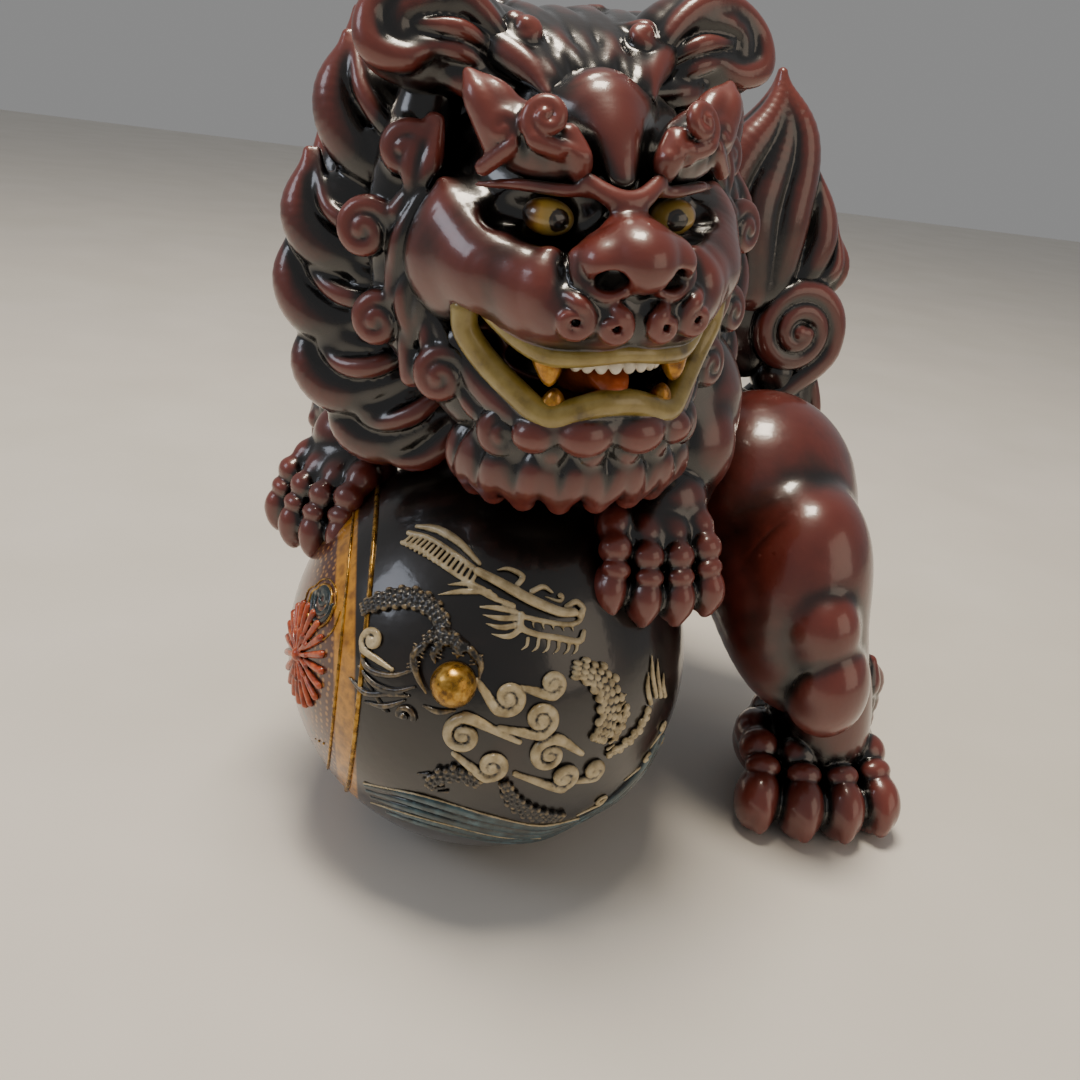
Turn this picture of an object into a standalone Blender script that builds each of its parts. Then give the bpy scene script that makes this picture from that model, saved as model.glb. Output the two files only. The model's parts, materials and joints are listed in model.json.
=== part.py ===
"""A glazed guardian lion leaning on a decorated ball, as the separately cast and pressed clay
pieces that are luted together with slip before the firing. Metres, +Z up. The lion looks along -Y.
The origin is on the surface that the ball stands on, in the middle of the ball's foot."""
import math
import bmesh
import bpy
from mathutils import Euler, Matrix, Vector

# Driving dimensions, in metres and degrees
BALL_RADIUS = 0.070
BALL_FOOT_RADIUS = 0.022
BALL_WALL = 0.006
VENT_RADIUS = 0.0018
BALL_VENT_BACK = 0.012     # the ball's vent is behind the middle of its foot
HEAD_SIZE = 0.046          # half the width of the bare head, and the unit of the head's own frame
HEAD_ABOVE_BALL = 0.076    # from the top of the ball to the middle of the head
HEAD_YAW = 22.0            # the head is turned to the lion's left
HEAD_TILT = 4.0
TRUNK_RADIUS = 0.038
TRUNK_TURN = 40.0          # the trunk runs back and to the lion's left from the chest
TRUNK_LENGTH = 0.097       # from the middle of the chest to the middle of the rump
TRUNK_WALL = 0.007
HIP_HEIGHT = 0.110
HIND_SPREAD = 0.082        # from the trunk's middle line to a hind paw
PAW_SIZE = 0.031           # half the width of a hind paw
FOREPAW_SIZE = 0.0215
TAIL_HEIGHT = 0.138        # from the rump to the tip of the tail
RELIEF = 0.0022            # half the thickness of the ornament's rolls of clay
PEARL_RADIUS = 0.0070
SEAM = 0.0008              # the slip joint left between two luted pieces
GRAIN = 0.0024             # the size of the voxels that melt one piece's lumps together
FINE_GRAIN = 0.0011        # the same for teeth, eyes and the ball's ornament
TINY = 1e-7

for old in list(bpy.data.objects):
    bpy.data.objects.remove(old)


def new_collection(name, rendered=True):
    made = bpy.data.collections.new(name)
    made.hide_render = not rendered
    bpy.context.scene.collection.children.link(made)
    return made


STATUE = new_collection("foo_dog_statue")
CUTTERS = new_collection("cutters", rendered=False)


# Materials

def glaze(name, colour, roughness, metallic=0.0):
    made = bpy.data.materials.new(name)
    made.use_nodes = True
    shader = made.node_tree.nodes["Principled BSDF"]
    shader.inputs["Base Color"].default_value = (*colour, 1)
    shader.inputs["Roughness"].default_value = roughness
    shader.inputs["Metallic"].default_value = metallic
    return made


IRON_RED = glaze("iron_red_glaze", (0.16, 0.035, 0.022), 0.25)
BLACK_BROWN = glaze("black_brown_glaze", (0.018, 0.014, 0.012), 0.2)
OVERGLAZE_GOLD = glaze("overglaze_gold", (0.62, 0.40, 0.13), 0.3, 1.0)
CREAM = glaze("cream_slip", (0.52, 0.44, 0.30), 0.4)
SEA_BLUE = glaze("blue_enamel", (0.05, 0.12, 0.17), 0.3)
CORAL = glaze("coral_enamel", (0.50, 0.12, 0.05), 0.3)
TOOTH_WHITE = glaze("white_enamel", (0.75, 0.70, 0.60), 0.3)


# Frames: each maps a group's own units, with -Y forward, to the statue

def turned(x=0.0, y=0.0, z=0.0):
    return Euler([math.radians(a) for a in (x, y, z)]).to_matrix().to_4x4()


BALL_CENTRE = Vector((0, 0, math.sqrt(BALL_RADIUS ** 2 - BALL_FOOT_RADIUS ** 2)))
BALL_TOP = BALL_CENTRE.z + BALL_RADIUS
HEAD_CENTRE = Vector((0.009, -0.006, BALL_TOP + HEAD_ABOVE_BALL))
HEAD = (Matrix.Translation(HEAD_CENTRE) @ turned(y=-HEAD_TILT) @ turned(z=HEAD_YAW)
        @ Matrix.Scale(HEAD_SIZE, 4))
CHEST = Vector((0.006, 0.028, BALL_TOP + 0.5 * TRUNK_RADIUS))
BACKWARDS = turned(z=TRUNK_TURN).to_3x3() @ Vector((1, 0, 0))
TO_LEFT = Vector((BACKWARDS.y, -BACKWARDS.x, 0))
RUMP = Vector((*(CHEST.xy + TRUNK_LENGTH * BACKWARDS.xy), HIP_HEIGHT))
TAIL = (Matrix.Translation(RUMP + 0.026 * BACKWARDS + Vector((0, 0, 0.010))) @ turned(z=14)
        @ Matrix.Scale(TAIL_HEIGHT, 4))


def on_ball(turn, tilt, lift=0.0):
    """The point over the ball at turn degrees round from the front and tilt degrees up."""
    turn, tilt = math.radians(turn), math.radians(tilt)
    out = Vector((math.sin(turn) * math.cos(tilt), -math.cos(turn) * math.cos(tilt), math.sin(tilt)))
    return BALL_CENTRE + (BALL_RADIUS + lift) * out


# Lumps of clay

def pebble(bm, centre, radii, turn=(0, 0, 0), frame=Matrix()):
    """An ellipsoid in a frame's own units. turn is in degrees."""
    place = frame @ Matrix.Translation(centre) @ turned(*turn) @ Matrix.Diagonal((*radii, 1))
    bmesh.ops.create_uvsphere(bm, u_segments=14, v_segments=8, radius=1, matrix=place)


def limb(bm, start, end, radius_start, radius_end, frame=Matrix()):
    """A tapered roll of clay with round ends, in a frame's own units."""
    start, end = Vector(start), Vector(end)
    along = end - start
    place = (frame @ Matrix.Translation((start + end) / 2)
             @ along.to_track_quat("Z", "Y").to_matrix().to_4x4())
    bmesh.ops.create_cone(bm, cap_ends=True, segments=14, radius1=radius_start, radius2=radius_end,
                          depth=along.length, matrix=place)
    pebble(bm, start, (radius_start,) * 3, frame=frame)
    pebble(bm, end, (radius_end,) * 3, frame=frame)


def roll(bm, points, thick, thin=None, frame=Matrix()):
    """A roll of clay through several points, tapered from thick to thin."""
    thin = thick if thin is None else thin
    last = len(points) - 1
    radii = [thick + (thin - thick) * i / last for i in range(last + 1)]
    for i in range(last):
        limb(bm, points[i], points[i + 1], radii[i], radii[i + 1], frame)


def coil(bm, centre, radius, turns, thick, normal, up, frame=Matrix()):
    """A curled lock: a roll that winds in to its middle while it rises along the normal."""
    normal = Vector(normal).normalized()
    across = Vector(up).cross(normal).normalized()
    above = normal.cross(across)
    points = []
    steps = int(9 * turns)
    for i in range(steps + 1):
        share = i / steps
        angle = math.tau * turns * share
        ray = math.cos(angle) * across + math.sin(angle) * above
        points.append(Vector(centre) + radius * (1 - 0.8 * share) * ray + normal * thick * share)
    roll(bm, points, thick, 0.65 * thick, frame)


# From lumps to one fired piece

def object_of(name, lumps, collection):
    bm = bmesh.new()
    lumps(bm)
    mesh = bpy.data.meshes.new(name)
    bm.to_mesh(mesh)
    bm.free()
    made = bpy.data.objects.new(name, mesh)
    collection.objects.link(made)
    if collection is CUTTERS:
        made.hide_render = True
        made.display_type = "WIRE"
    return made


def apply_all(piece):
    """Replaces the piece's mesh with the one its modifiers make."""
    graph = bpy.context.evaluated_depsgraph_get()
    mesh = bpy.data.meshes.new_from_object(piece.evaluated_get(graph))
    piece.modifiers.clear()
    piece.data = mesh


def melt(piece, grain, soften, faces):
    """Joins the piece's lumps into one skin of about as many triangles as faces says."""
    remesh = piece.modifiers.new("melt", "REMESH")
    remesh.mode = "VOXEL"
    remesh.voxel_size = grain
    soft = piece.modifiers.new("soften", "SMOOTH")
    soft.factor = 0.5
    soft.iterations = soften
    apply_all(piece)
    thin = piece.modifiers.new("thin", "DECIMATE")
    thin.ratio = min(1.0, faces / (2 * len(piece.data.polygons)))
    apply_all(piece)


def subtract(piece, cutter):
    cut = piece.modifiers.new("cut", "BOOLEAN")
    cut.operation = "DIFFERENCE"
    cut.solver = "MANIFOLD"  # EXACT loses whole curls on skins as dented as these
    cut.object = cutter
    apply_all(piece)


def box_of(piece):
    corners = [vert.co for vert in piece.data.vertices]
    return [(min(c[i] for c in corners), max(c[i] for c in corners)) for i in range(3)]


def meets(piece, other):
    return all(a[0] - SEAM < b[1] + SEAM and b[0] - SEAM < a[1] + SEAM
               for a, b in zip(box_of(piece), box_of(other)))


def grown(neighbour):
    """A cutter: the neighbour with the seam's width added all round."""
    name = neighbour.name + "_seam"
    if name in bpy.data.objects:
        return bpy.data.objects[name]
    cutter = object_of(name, lambda bm: bm.from_mesh(neighbour.data), CUTTERS)
    swell = cutter.modifiers.new("seam", "DISPLACE")
    swell.strength = SEAM
    swell.mid_level = 0
    return cutter


def drop_crumbs(mesh):
    """Keeps only the largest body, since a cut can leave crumbs beside the piece."""
    bm = bmesh.new()
    bm.from_mesh(mesh)
    left, groups = set(bm.verts), []
    while left:
        edge = [left.pop()]
        group = []
        while edge:
            vert = edge.pop()
            group.append(vert)
            near = {e.other_vert(vert) for e in vert.link_edges} & left
            left -= near
            edge.extend(near)
        groups.append(group)
    groups.sort(key=len)
    for group in groups[:-1]:
        bmesh.ops.delete(bm, geom=group, context="VERTS")
    bmesh.ops.dissolve_degenerate(bm, dist=TINY, edges=bm.edges)
    bm.to_mesh(mesh)
    bm.free()


STANDING = []


def finish(piece, material, hollows=()):
    """Trims a piece to fit all that already stands where it goes, opens it, and colours it."""
    for neighbour in STANDING:
        if meets(piece, neighbour):
            subtract(piece, grown(neighbour))
    for hollow in hollows:
        subtract(piece, hollow)
    drop_crumbs(piece.data)
    piece.data.materials.clear()
    piece.data.materials.append(material)
    piece.data.shade_smooth()
    STANDING.append(piece)
    return piece


def fired(name, lumps, material, faces=600, grain=GRAIN, soften=3, hollows=()):
    piece = object_of(name, lumps, STATUE)
    melt(piece, grain, soften, faces)
    return finish(piece, material, hollows)


def cutter_of(name, lumps, faces=None):
    """A cutting shape that isn't a piece, such as the inside of a hollow casting."""
    cutter = object_of(name, lumps, CUTTERS)
    if faces:
        melt(cutter, GRAIN, 3, faces)
    return cutter


# The ball: a hollow casting with a flat foot and a vent for the kiln

def sphere(radius, segments):
    return lambda bm: bmesh.ops.create_uvsphere(
        bm, u_segments=segments, v_segments=segments // 2 + 2, radius=radius,
        matrix=Matrix.Translation(BALL_CENTRE))


def below_the_ground(bm):
    side = 6 * BALL_RADIUS
    bmesh.ops.create_cube(bm, size=side, matrix=Matrix.Translation((0, 0, -side / 2)))


def vent(place, depth):
    return lambda bm: bmesh.ops.create_cone(bm, cap_ends=True, segments=12, radius1=VENT_RADIUS,
                                            radius2=VENT_RADIUS, depth=depth,
                                            matrix=Matrix.Translation(place))


GROUND = cutter_of("ground", below_the_ground)
finish(object_of("ball", sphere(BALL_RADIUS, 30), STATUE), BLACK_BROWN,
       [GROUND, cutter_of("ball_hollow", sphere(BALL_RADIUS - BALL_WALL, 16)),
        cutter_of("ball_vent", vent((0, BALL_VENT_BACK, 0), 4 * BALL_WALL))])


# The trunk: chest, belly and rump in one hollow casting, with a vent under the rump

def trunk_lumps(bm, shrink=0.0):
    r = TRUNK_RADIUS - shrink
    pebble(bm, CHEST, (1.2 * r, 1.1 * r, 1.05 * r))
    pebble(bm, RUMP, (1.05 * r, 1.0 * r, 0.95 * r))
    limb(bm, CHEST, RUMP, r, 0.95 * r)


fired("trunk", trunk_lumps, BLACK_BROWN, 420, hollows=[
    cutter_of("trunk_hollow", lambda bm: trunk_lumps(bm, TRUNK_WALL), 140),
    cutter_of("trunk_vent", vent(RUMP - Vector((0, 0, TRUNK_RADIUS)), 1.2 * TRUNK_RADIUS))])


# The head: a hollow casting with cheeks and muzzle, open at the mouth

def head_lumps(bm):
    pebble(bm, (0, 0.16, 0.10), (0.98, 0.95, 0.90), frame=HEAD)
    pebble(bm, (0, -0.42, 0.56), (0.62, 0.48, 0.40), frame=HEAD)
    pebble(bm, (0, -0.62, -0.16), (0.84, 0.62, 0.36), frame=HEAD)
    pebble(bm, (0, -0.84, -0.04), (0.56, 0.62, 0.32), frame=HEAD)
    pebble(bm, (0, -1.30, 0.06), (0.30, 0.26, 0.22), frame=HEAD)
    pebble(bm, (0, -0.05, -0.62), (0.80, 0.60, 0.44), frame=HEAD)
    for side in (-1, 1):
        pebble(bm, (0.66 * side, -0.34, -0.10), (0.42, 0.50, 0.46), frame=HEAD)
        pebble(bm, (0.30 * side, -1.06, -0.30), (0.36, 0.34, 0.24), frame=HEAD)
        roll(bm, [(0.90 * side, -0.20, -0.30), (0.80 * side, -0.24, -0.80)], 0.22, 0.18, HEAD)


def mouth_lumps(bm):
    pebble(bm, (0, -0.70, -0.74), (0.80, 0.64, 0.24), frame=HEAD)
    pebble(bm, (0, -0.28, -0.62), (0.62, 0.50, 0.28), frame=HEAD)
    pebble(bm, (0, 0.06, -0.16), (0.60, 0.54, 0.48), frame=HEAD)


fired("head", head_lumps, IRON_RED, 760, hollows=[cutter_of("mouth", mouth_lumps, 200)])


def jaw_lumps(bm):
    rim = [(0.74 * math.sin(a), -0.36 - 0.70 * math.cos(a), -0.82 - 0.18 * math.cos(a))
           for a in [math.radians(18 * i) for i in range(-5, 6)]]
    roll(bm, rim, 0.13, frame=HEAD)
    pebble(bm, (0, -0.50, -1.10), (0.62, 0.58, 0.18), frame=HEAD)


def tongue_lumps(bm):
    pebble(bm, (0, -0.66, -0.86), (0.26, 0.34, 0.09), (8, 0, 0), HEAD)


def tooth_row(bm):
    points = [(0.24 * math.sin(a), -0.94 - 0.24 * math.cos(a), -0.60)
              for a in [math.radians(20 * i) for i in range(-4, 5)]]
    roll(bm, points, 0.06, frame=HEAD)


def fang(place, rise):
    return lambda bm: limb(bm, place, Vector(place) + Vector((0, -0.02, rise)), 0.085, 0.025, HEAD)


fired("lower_jaw", jaw_lumps, IRON_RED, 320)
fired("tongue", tongue_lumps, CORAL, 100, FINE_GRAIN)
fired("upper_teeth", tooth_row, TOOTH_WHITE, 120, FINE_GRAIN, 1)
for side, word in ((-1, "right"), (1, "left")):
    fired("upper_fang_" + word, fang((0.42 * side, -0.96, -0.50), -0.22), OVERGLAZE_GOLD, 60,
          FINE_GRAIN, 1)
    fired("lower_fang_" + word, fang((0.42 * side, -0.90, -0.90), 0.16), OVERGLAZE_GOLD, 60,
          FINE_GRAIN, 1)


# The eyes, the flame-shaped brows and the folded ears

def eye(side):
    return lambda bm: pebble(bm, (0.38 * side, -0.78, 0.20), (0.17, 0.17, 0.14), frame=HEAD)


def brow(side):
    return lambda bm: roll(bm, [(0.17 * side, -0.98, 0.44), (0.42 * side, -0.88, 0.58),
                                (0.60 * side, -0.72, 0.70), (0.66 * side, -0.58, 0.90)],
                           0.15, 0.10, HEAD)


def ear(side):
    def lumps(bm):
        roll(bm, [(0.42 * side, 0.02, 0.82), (0.58 * side, -0.08, 1.08), (0.94 * side, -0.06, 1.20),
                  (1.16 * side, 0.00, 1.06)], 0.26, 0.20, HEAD)
        pebble(bm, (0.86 * side, 0.06, 1.06), (0.42, 0.30, 0.26), frame=HEAD)
    return lumps


for side, word in ((-1, "right"), (1, "left")):
    fired("eye_" + word, eye(side), OVERGLAZE_GOLD, 80, FINE_GRAIN)
    fired("brow_" + word, brow(side), IRON_RED, 130)
    fired("ear_" + word, ear(side), IRON_RED, 180)


# The forelegs, from the shoulder to the paw that grips the ball

def paw_lumps(bm, centre, heading, size, tilt=0.0):
    """Four toes side by side with a heel behind. heading is where they point, in degrees from -Y."""
    frame = (Matrix.Translation(centre) @ turned(z=heading) @ turned(x=tilt)
             @ Matrix.Scale(size, 4))
    pebble(bm, (0, 0.30, 0.02), (0.84, 0.86, 0.62), frame=frame)
    for i in range(4):
        across = -0.72 + 0.48 * i
        front = -0.62 - 0.16 * math.cos(math.pi * (i - 1.5) / 3)
        roll(bm, [(across, front, -0.28), (across, front + 0.14, 0.18), (across, front + 0.48, 0.38)],
             0.34, 0.28, frame)


def foreleg(shoulder, paw, elbow, heading, tilt):
    def lumps(bm):
        roll(bm, [shoulder, paw + elbow, paw + Vector((0, 0.004, 0.004))], 0.026, 0.015)
        paw_lumps(bm, paw, heading, FOREPAW_SIZE, tilt)
    return lumps


fired("foreleg_right", foreleg(CHEST + Vector((-0.040, -0.002, 0.012)),
                               on_ball(-98, 40, 0.30 * FOREPAW_SIZE),
                               Vector((0.010, 0.026, 0.024)), -38, 38), IRON_RED, 380)
fired("foreleg_left", foreleg(CHEST + Vector((0.042, -0.014, 0.004)),
                              on_ball(66, 45, 0.30 * FOREPAW_SIZE),
                              Vector((0.002, 0.026, 0.018)), 18, 36), IRON_RED, 380)


# The hind legs, each with the flame tufts behind it

def hind_leg(side, heading):
    paw = RUMP + HIND_SPREAD * side * TO_LEFT - 0.005 * BACKWARDS
    paw.z = 0.50 * PAW_SIZE
    hip = RUMP + 0.036 * side * TO_LEFT - 0.010 * BACKWARDS + Vector((0, 0, 0.004))
    toes = turned(z=heading).to_3x3() @ Vector((0, -1, 0))
    knee = hip.lerp(paw, 0.38) + 0.030 * toes
    hock = hip.lerp(paw, 0.55) - 0.008 * toes + 0.014 * side * TO_LEFT

    def leg(bm):
        pebble(bm, hip, (0.036, 0.038, 0.042))
        roll(bm, [hip, knee, hock, paw], 0.036, 0.019)
        paw_lumps(bm, paw, heading, PAW_SIZE)

    def tufts(bm):
        heel = paw - 0.022 * toes
        top = hock - 0.020 * toes
        roll(bm, [heel, heel.lerp(top, 0.5), top], 0.010)
        for share in (0.30, 0.62, 0.95):
            root = heel.lerp(top, share)
            roll(bm, [root, root - 0.012 * toes + Vector((0, 0, 0.012))], 0.009, 0.004)
    return leg, tufts


for side, word, heading in ((1, "left", 8), (-1, "right", -110)):
    leg, tufts = hind_leg(side, heading)
    fired("hind_leg_" + word, leg, IRON_RED, 460, hollows=[GROUND])
    fired("leg_tufts_" + word, tufts, IRON_RED, 130)


# The mane: pressed locks luted on round the head, from the beard and cheek curls to the back

def beard_lumps(bm):
    pebble(bm, (0, -0.26, -1.28), (0.74, 0.60, 0.26), frame=HEAD)
    for i in range(7):
        turn = math.radians(-78 + 26 * i)
        x, y = math.sin(turn), -math.cos(turn)
        roll(bm, [(0.62 * x, -0.34 + 0.56 * y, -1.12), (0.84 * x, -0.28 + 0.62 * y, -1.52)],
             0.19, 0.13, HEAD)


def cheek_curls(side):
    """The row of curls behind one cheek."""
    def lumps(bm):
        roll(bm, [(0.96 * side, 0.10, 0.70), (1.14 * side, 0.06, 0.30), (1.20 * side, 0.06, -0.20),
                  (1.06 * side, -0.04, -0.66), (0.80 * side, -0.26, -1.00)], 0.24, frame=HEAD)
        for x, y, z, up in ((1.09, -0.10, 0.48, 1), (1.26, -0.10, 0.06, -1), (1.20, -0.14, -0.48, 1),
                            (0.88, -0.46, -0.90, -1)):
            coil(bm, (x * side, y, z), 0.18, 1.1, 0.09, (0.7 * side, -1, 0.1), (0, 0.2, up), HEAD)
    return lumps


def ruff(side):
    """The pointed locks behind the cheek curls."""
    def lumps(bm):
        pebble(bm, (0.98 * side, 0.62, -0.10), (0.42, 0.36, 1.06), frame=HEAD)
        for bend, tip in (((1.20, 0.52, 0.76), (1.32, 0.48, 1.06)),
                          ((1.44, 0.52, 0.14), (1.60, 0.50, 0.44)),
                          ((1.50, 0.58, -0.40), (1.74, 0.56, -0.10)),
                          ((1.42, 0.50, -0.88), (1.66, 0.46, -0.62)),
                          ((1.16, 0.40, -1.10), (1.42, 0.38, -1.12))):
            roll(bm, [(0.90 * side, 0.56, bend[2] - 0.10), (bend[0] * side, *bend[1:]),
                      (tip[0] * side, *tip[1:])], 0.30, 0.09, HEAD)
    return lumps


def crown_lumps(bm):
    pebble(bm, (0, 0.36, 0.96), (0.60, 0.60, 0.24), frame=HEAD)
    for i in range(5):
        x = -0.44 + 0.22 * i
        roll(bm, [(0.7 * x, -0.24, 0.88), (x, 0.16, 1.10), (1.2 * x, 0.76, 1.12)], 0.14, 0.20, HEAD)


def nape_lumps(bm):
    pebble(bm, (0, 0.92, 0.10), (0.92, 0.56, 1.06), frame=HEAD)
    for x in (-0.60, -0.20, 0.20, 0.60):
        roll(bm, [(x, 0.96, 0.80), (1.1 * x, 1.30, 0.10), (1.3 * x, 1.42, -0.80)], 0.32, 0.20, HEAD)


fired("beard", beard_lumps, IRON_RED, 320)
for side, word in ((-1, "right"), (1, "left")):
    fired("cheek_curls_" + word, cheek_curls(side), IRON_RED, 340)
    fired("ruff_" + word, ruff(side), IRON_RED, 340)
fired("crown_mane", crown_lumps, IRON_RED, 240)
fired("nape_mane", nape_lumps, IRON_RED, 340)


# The tail: a root, a brush with a coiled lock, and a flame

def tail_root_lumps(bm):
    roll(bm, [(-0.16, -0.02, -0.12), (0.04, 0.00, -0.02), (0.06, 0.00, 0.14), (0.00, 0.00, 0.26)],
         0.12, 0.09, TAIL)


def tail_coil_lumps(bm):
    pebble(bm, (-0.10, 0.00, 0.42), (0.17, 0.10, 0.24), frame=TAIL)
    coil(bm, (-0.02, -0.05, 0.40), 0.10, 1.5, 0.045, (0.1, -1, 0), (0, 0, 1), TAIL)


def tail_flame_lumps(bm):
    for bend, tip in (((-0.14, 0.01, 0.82), (-0.20, 0.00, 1.06)),
                      ((-0.02, 0.01, 0.74), (-0.06, 0.00, 0.90)),
                      ((0.04, 0.01, 0.62), (0.05, 0.00, 0.72))):
        roll(bm, [(-0.10, 0.01, 0.58), bend, tip], 0.11, 0.04, TAIL)


fired("tail_root", tail_root_lumps, IRON_RED, 140)
fired("tail_coil", tail_coil_lumps, IRON_RED, 300)
fired("tail_flame", tail_flame_lumps, IRON_RED, 180)


# The ball's ornament: rolls and pads of slip pressed on, half sunk in its skin

def over_ball(path):
    return [on_ball(turn, tilt) for turn, tilt in path]


def medallion_rim(bm):
    """A ring round the painted panel on the ball's right side."""
    reach = math.radians(50)
    points = []
    for i in range(37):
        angle = math.tau * i / 36
        local = Vector((math.sin(reach) * math.cos(angle), -math.cos(reach),
                        math.sin(reach) * math.sin(angle)))
        points.append(BALL_CENTRE + BALL_RADIUS * (turned(z=-80) @ local))
    roll(bm, points, 0.9 * RELIEF)


def chrysanthemum(bm):
    pebble(bm, on_ball(-56, 8), (1.6 * RELIEF,) * 3)
    for i in range(12):
        angle = math.tau * i / 12
        roll(bm, over_ball([(-56, 8), (-56 + 13 * math.cos(angle), 8 + 11 * math.sin(angle))]),
             0.8 * RELIEF, 1.2 * RELIEF)


def dragon_head(bm):
    roll(bm, over_ball([(-30, 50), (-14, 51), (2, 46), (14, 40)]), 1.6 * RELIEF, 2.0 * RELIEF)
    roll(bm, over_ball([(12, 41), (22, 37), (30, 34)]), 1.7 * RELIEF, 1.2 * RELIEF)
    roll(bm, over_ball([(10, 37), (20, 32), (28, 29)]), 1.2 * RELIEF, 0.8 * RELIEF)
    roll(bm, over_ball([(2, 46), (-6, 42), (-14, 40)]), 1.1 * RELIEF, 0.6 * RELIEF)


def dragon_claw(bm):
    roll(bm, over_ball([(-30, 36), (-20, 34), (-10, 28)]), 2.0 * RELIEF, 1.6 * RELIEF)
    for reach in (-34, 10, 52):
        angle = math.radians(90 + reach)
        roll(bm, over_ball([(-10, 28), (-5 + 9 * math.cos(angle), 19 + 9 * math.sin(angle)),
                            (-5 + 9 * math.cos(angle + 0.7), 19 + 8 * math.sin(angle + 0.7))]),
             1.0 * RELIEF, 0.6 * RELIEF)


def pearl(bm):
    pebble(bm, on_ball(-5, 19, 0.3 * PEARL_RADIUS), (PEARL_RADIUS,) * 3)


def scroll(bm, turn, tilt, reach, up):
    """A cloud's curl, flat on the ball."""
    out = (on_ball(turn, tilt) - BALL_CENTRE).normalized()
    coil(bm, on_ball(turn, tilt), math.radians(reach) * BALL_RADIUS, 1.0, 0.7 * RELIEF, out,
         (0, 0, up))


def cloud_scrolls(bm):
    centres = [(-12, 2, -1), (0, 6, 1), (8, -2, -1), (14, 9, 1), (21, 2, -1), (27, -7, 1),
               (7, 16, 1), (19, 19, -1)]
    for turn, tilt, up in centres:
        scroll(bm, turn, tilt, 4.2, up)
    roll(bm, over_ball([(-14, 10), (-12, 2), (0, 6), (8, -2), (21, 2), (27, -7)]), 0.8 * RELIEF)
    roll(bm, over_ball([(21, 2), (14, 9), (7, 16), (19, 19)]), 0.8 * RELIEF)


def dragon_body(bm):
    roll(bm, over_ball([(30, 25), (37, 18), (40, 10), (35, 3)]), 2.0 * RELIEF, 1.8 * RELIEF)
    roll(bm, over_ball([(40, 12), (48, 14), (57, 13)]), 1.2 * RELIEF, 0.5 * RELIEF)


def dragon_tail(bm):
    roll(bm, over_ball([(-16, -8), (-4, -10), (8, -13), (20, -18), (30, -16)]),
         1.6 * RELIEF, 0.8 * RELIEF)


def wave_band(bm):
    for i in range(12):
        turn = -34 + 10 * i
        tilt = -30 + 10 * (i / 11) ** 2
        arc = [(turn + 9 * math.cos(a), tilt + 7 * math.sin(a)) for a in
               [math.radians(30 * k) for k in range(7)]]
        roll(bm, over_ball(arc), 0.8 * RELIEF)


for name, lumps, material, faces in (
        ("medallion_rim", medallion_rim, OVERGLAZE_GOLD, 300),
        ("chrysanthemum", chrysanthemum, CORAL, 200),
        ("pearl", pearl, OVERGLAZE_GOLD, 100), ("dragon_head", dragon_head, CREAM, 240),
        ("dragon_claw", dragon_claw, CREAM, 180), ("cloud_scrolls", cloud_scrolls, CREAM, 460),
        ("dragon_body", dragon_body, CREAM, 150), ("dragon_tail", dragon_tail, CREAM, 140),
        ("wave_band", wave_band, SEA_BLUE, 440)):
    fired(name, lumps, material, faces, FINE_GRAIN, 1)
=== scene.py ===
"""The looks of a glazed ceramic guardian lion that leans on a decorated ball, in metres."""
import json
import math
import bmesh
import bpy
import numpy as np
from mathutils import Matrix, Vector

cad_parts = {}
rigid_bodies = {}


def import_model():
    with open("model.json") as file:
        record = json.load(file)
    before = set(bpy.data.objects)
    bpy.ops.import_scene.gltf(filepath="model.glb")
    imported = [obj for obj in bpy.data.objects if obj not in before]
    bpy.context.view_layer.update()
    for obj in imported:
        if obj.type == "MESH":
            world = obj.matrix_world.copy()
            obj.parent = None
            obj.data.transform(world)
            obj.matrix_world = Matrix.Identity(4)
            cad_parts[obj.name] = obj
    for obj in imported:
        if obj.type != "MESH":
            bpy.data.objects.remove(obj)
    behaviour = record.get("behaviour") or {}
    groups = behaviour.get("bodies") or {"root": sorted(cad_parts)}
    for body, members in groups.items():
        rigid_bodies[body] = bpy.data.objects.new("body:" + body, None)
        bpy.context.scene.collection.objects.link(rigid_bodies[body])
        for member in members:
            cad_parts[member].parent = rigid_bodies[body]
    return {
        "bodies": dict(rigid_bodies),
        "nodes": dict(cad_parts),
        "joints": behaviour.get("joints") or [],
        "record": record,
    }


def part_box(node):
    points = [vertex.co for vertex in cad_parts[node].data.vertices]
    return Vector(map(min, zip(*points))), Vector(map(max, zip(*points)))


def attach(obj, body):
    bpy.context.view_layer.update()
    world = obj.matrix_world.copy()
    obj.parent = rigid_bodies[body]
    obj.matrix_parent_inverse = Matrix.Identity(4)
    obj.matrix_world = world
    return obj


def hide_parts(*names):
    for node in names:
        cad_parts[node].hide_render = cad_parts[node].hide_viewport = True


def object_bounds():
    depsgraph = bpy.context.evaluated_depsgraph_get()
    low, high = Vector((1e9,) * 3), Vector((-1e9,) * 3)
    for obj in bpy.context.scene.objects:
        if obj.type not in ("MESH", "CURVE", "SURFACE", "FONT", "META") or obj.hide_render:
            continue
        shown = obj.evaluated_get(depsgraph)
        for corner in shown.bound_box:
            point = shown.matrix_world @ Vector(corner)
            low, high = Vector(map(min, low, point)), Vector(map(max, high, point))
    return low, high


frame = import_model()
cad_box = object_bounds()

import openvdb
from mathutils import Euler, Matrix, Vector

# The ball is a hollow slip casting, trimmed flat at its foot and dipped in a black-brown iron glaze
# that breaks to brown where it is thin. It was painted with overglaze enamels after the first firing.

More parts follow.
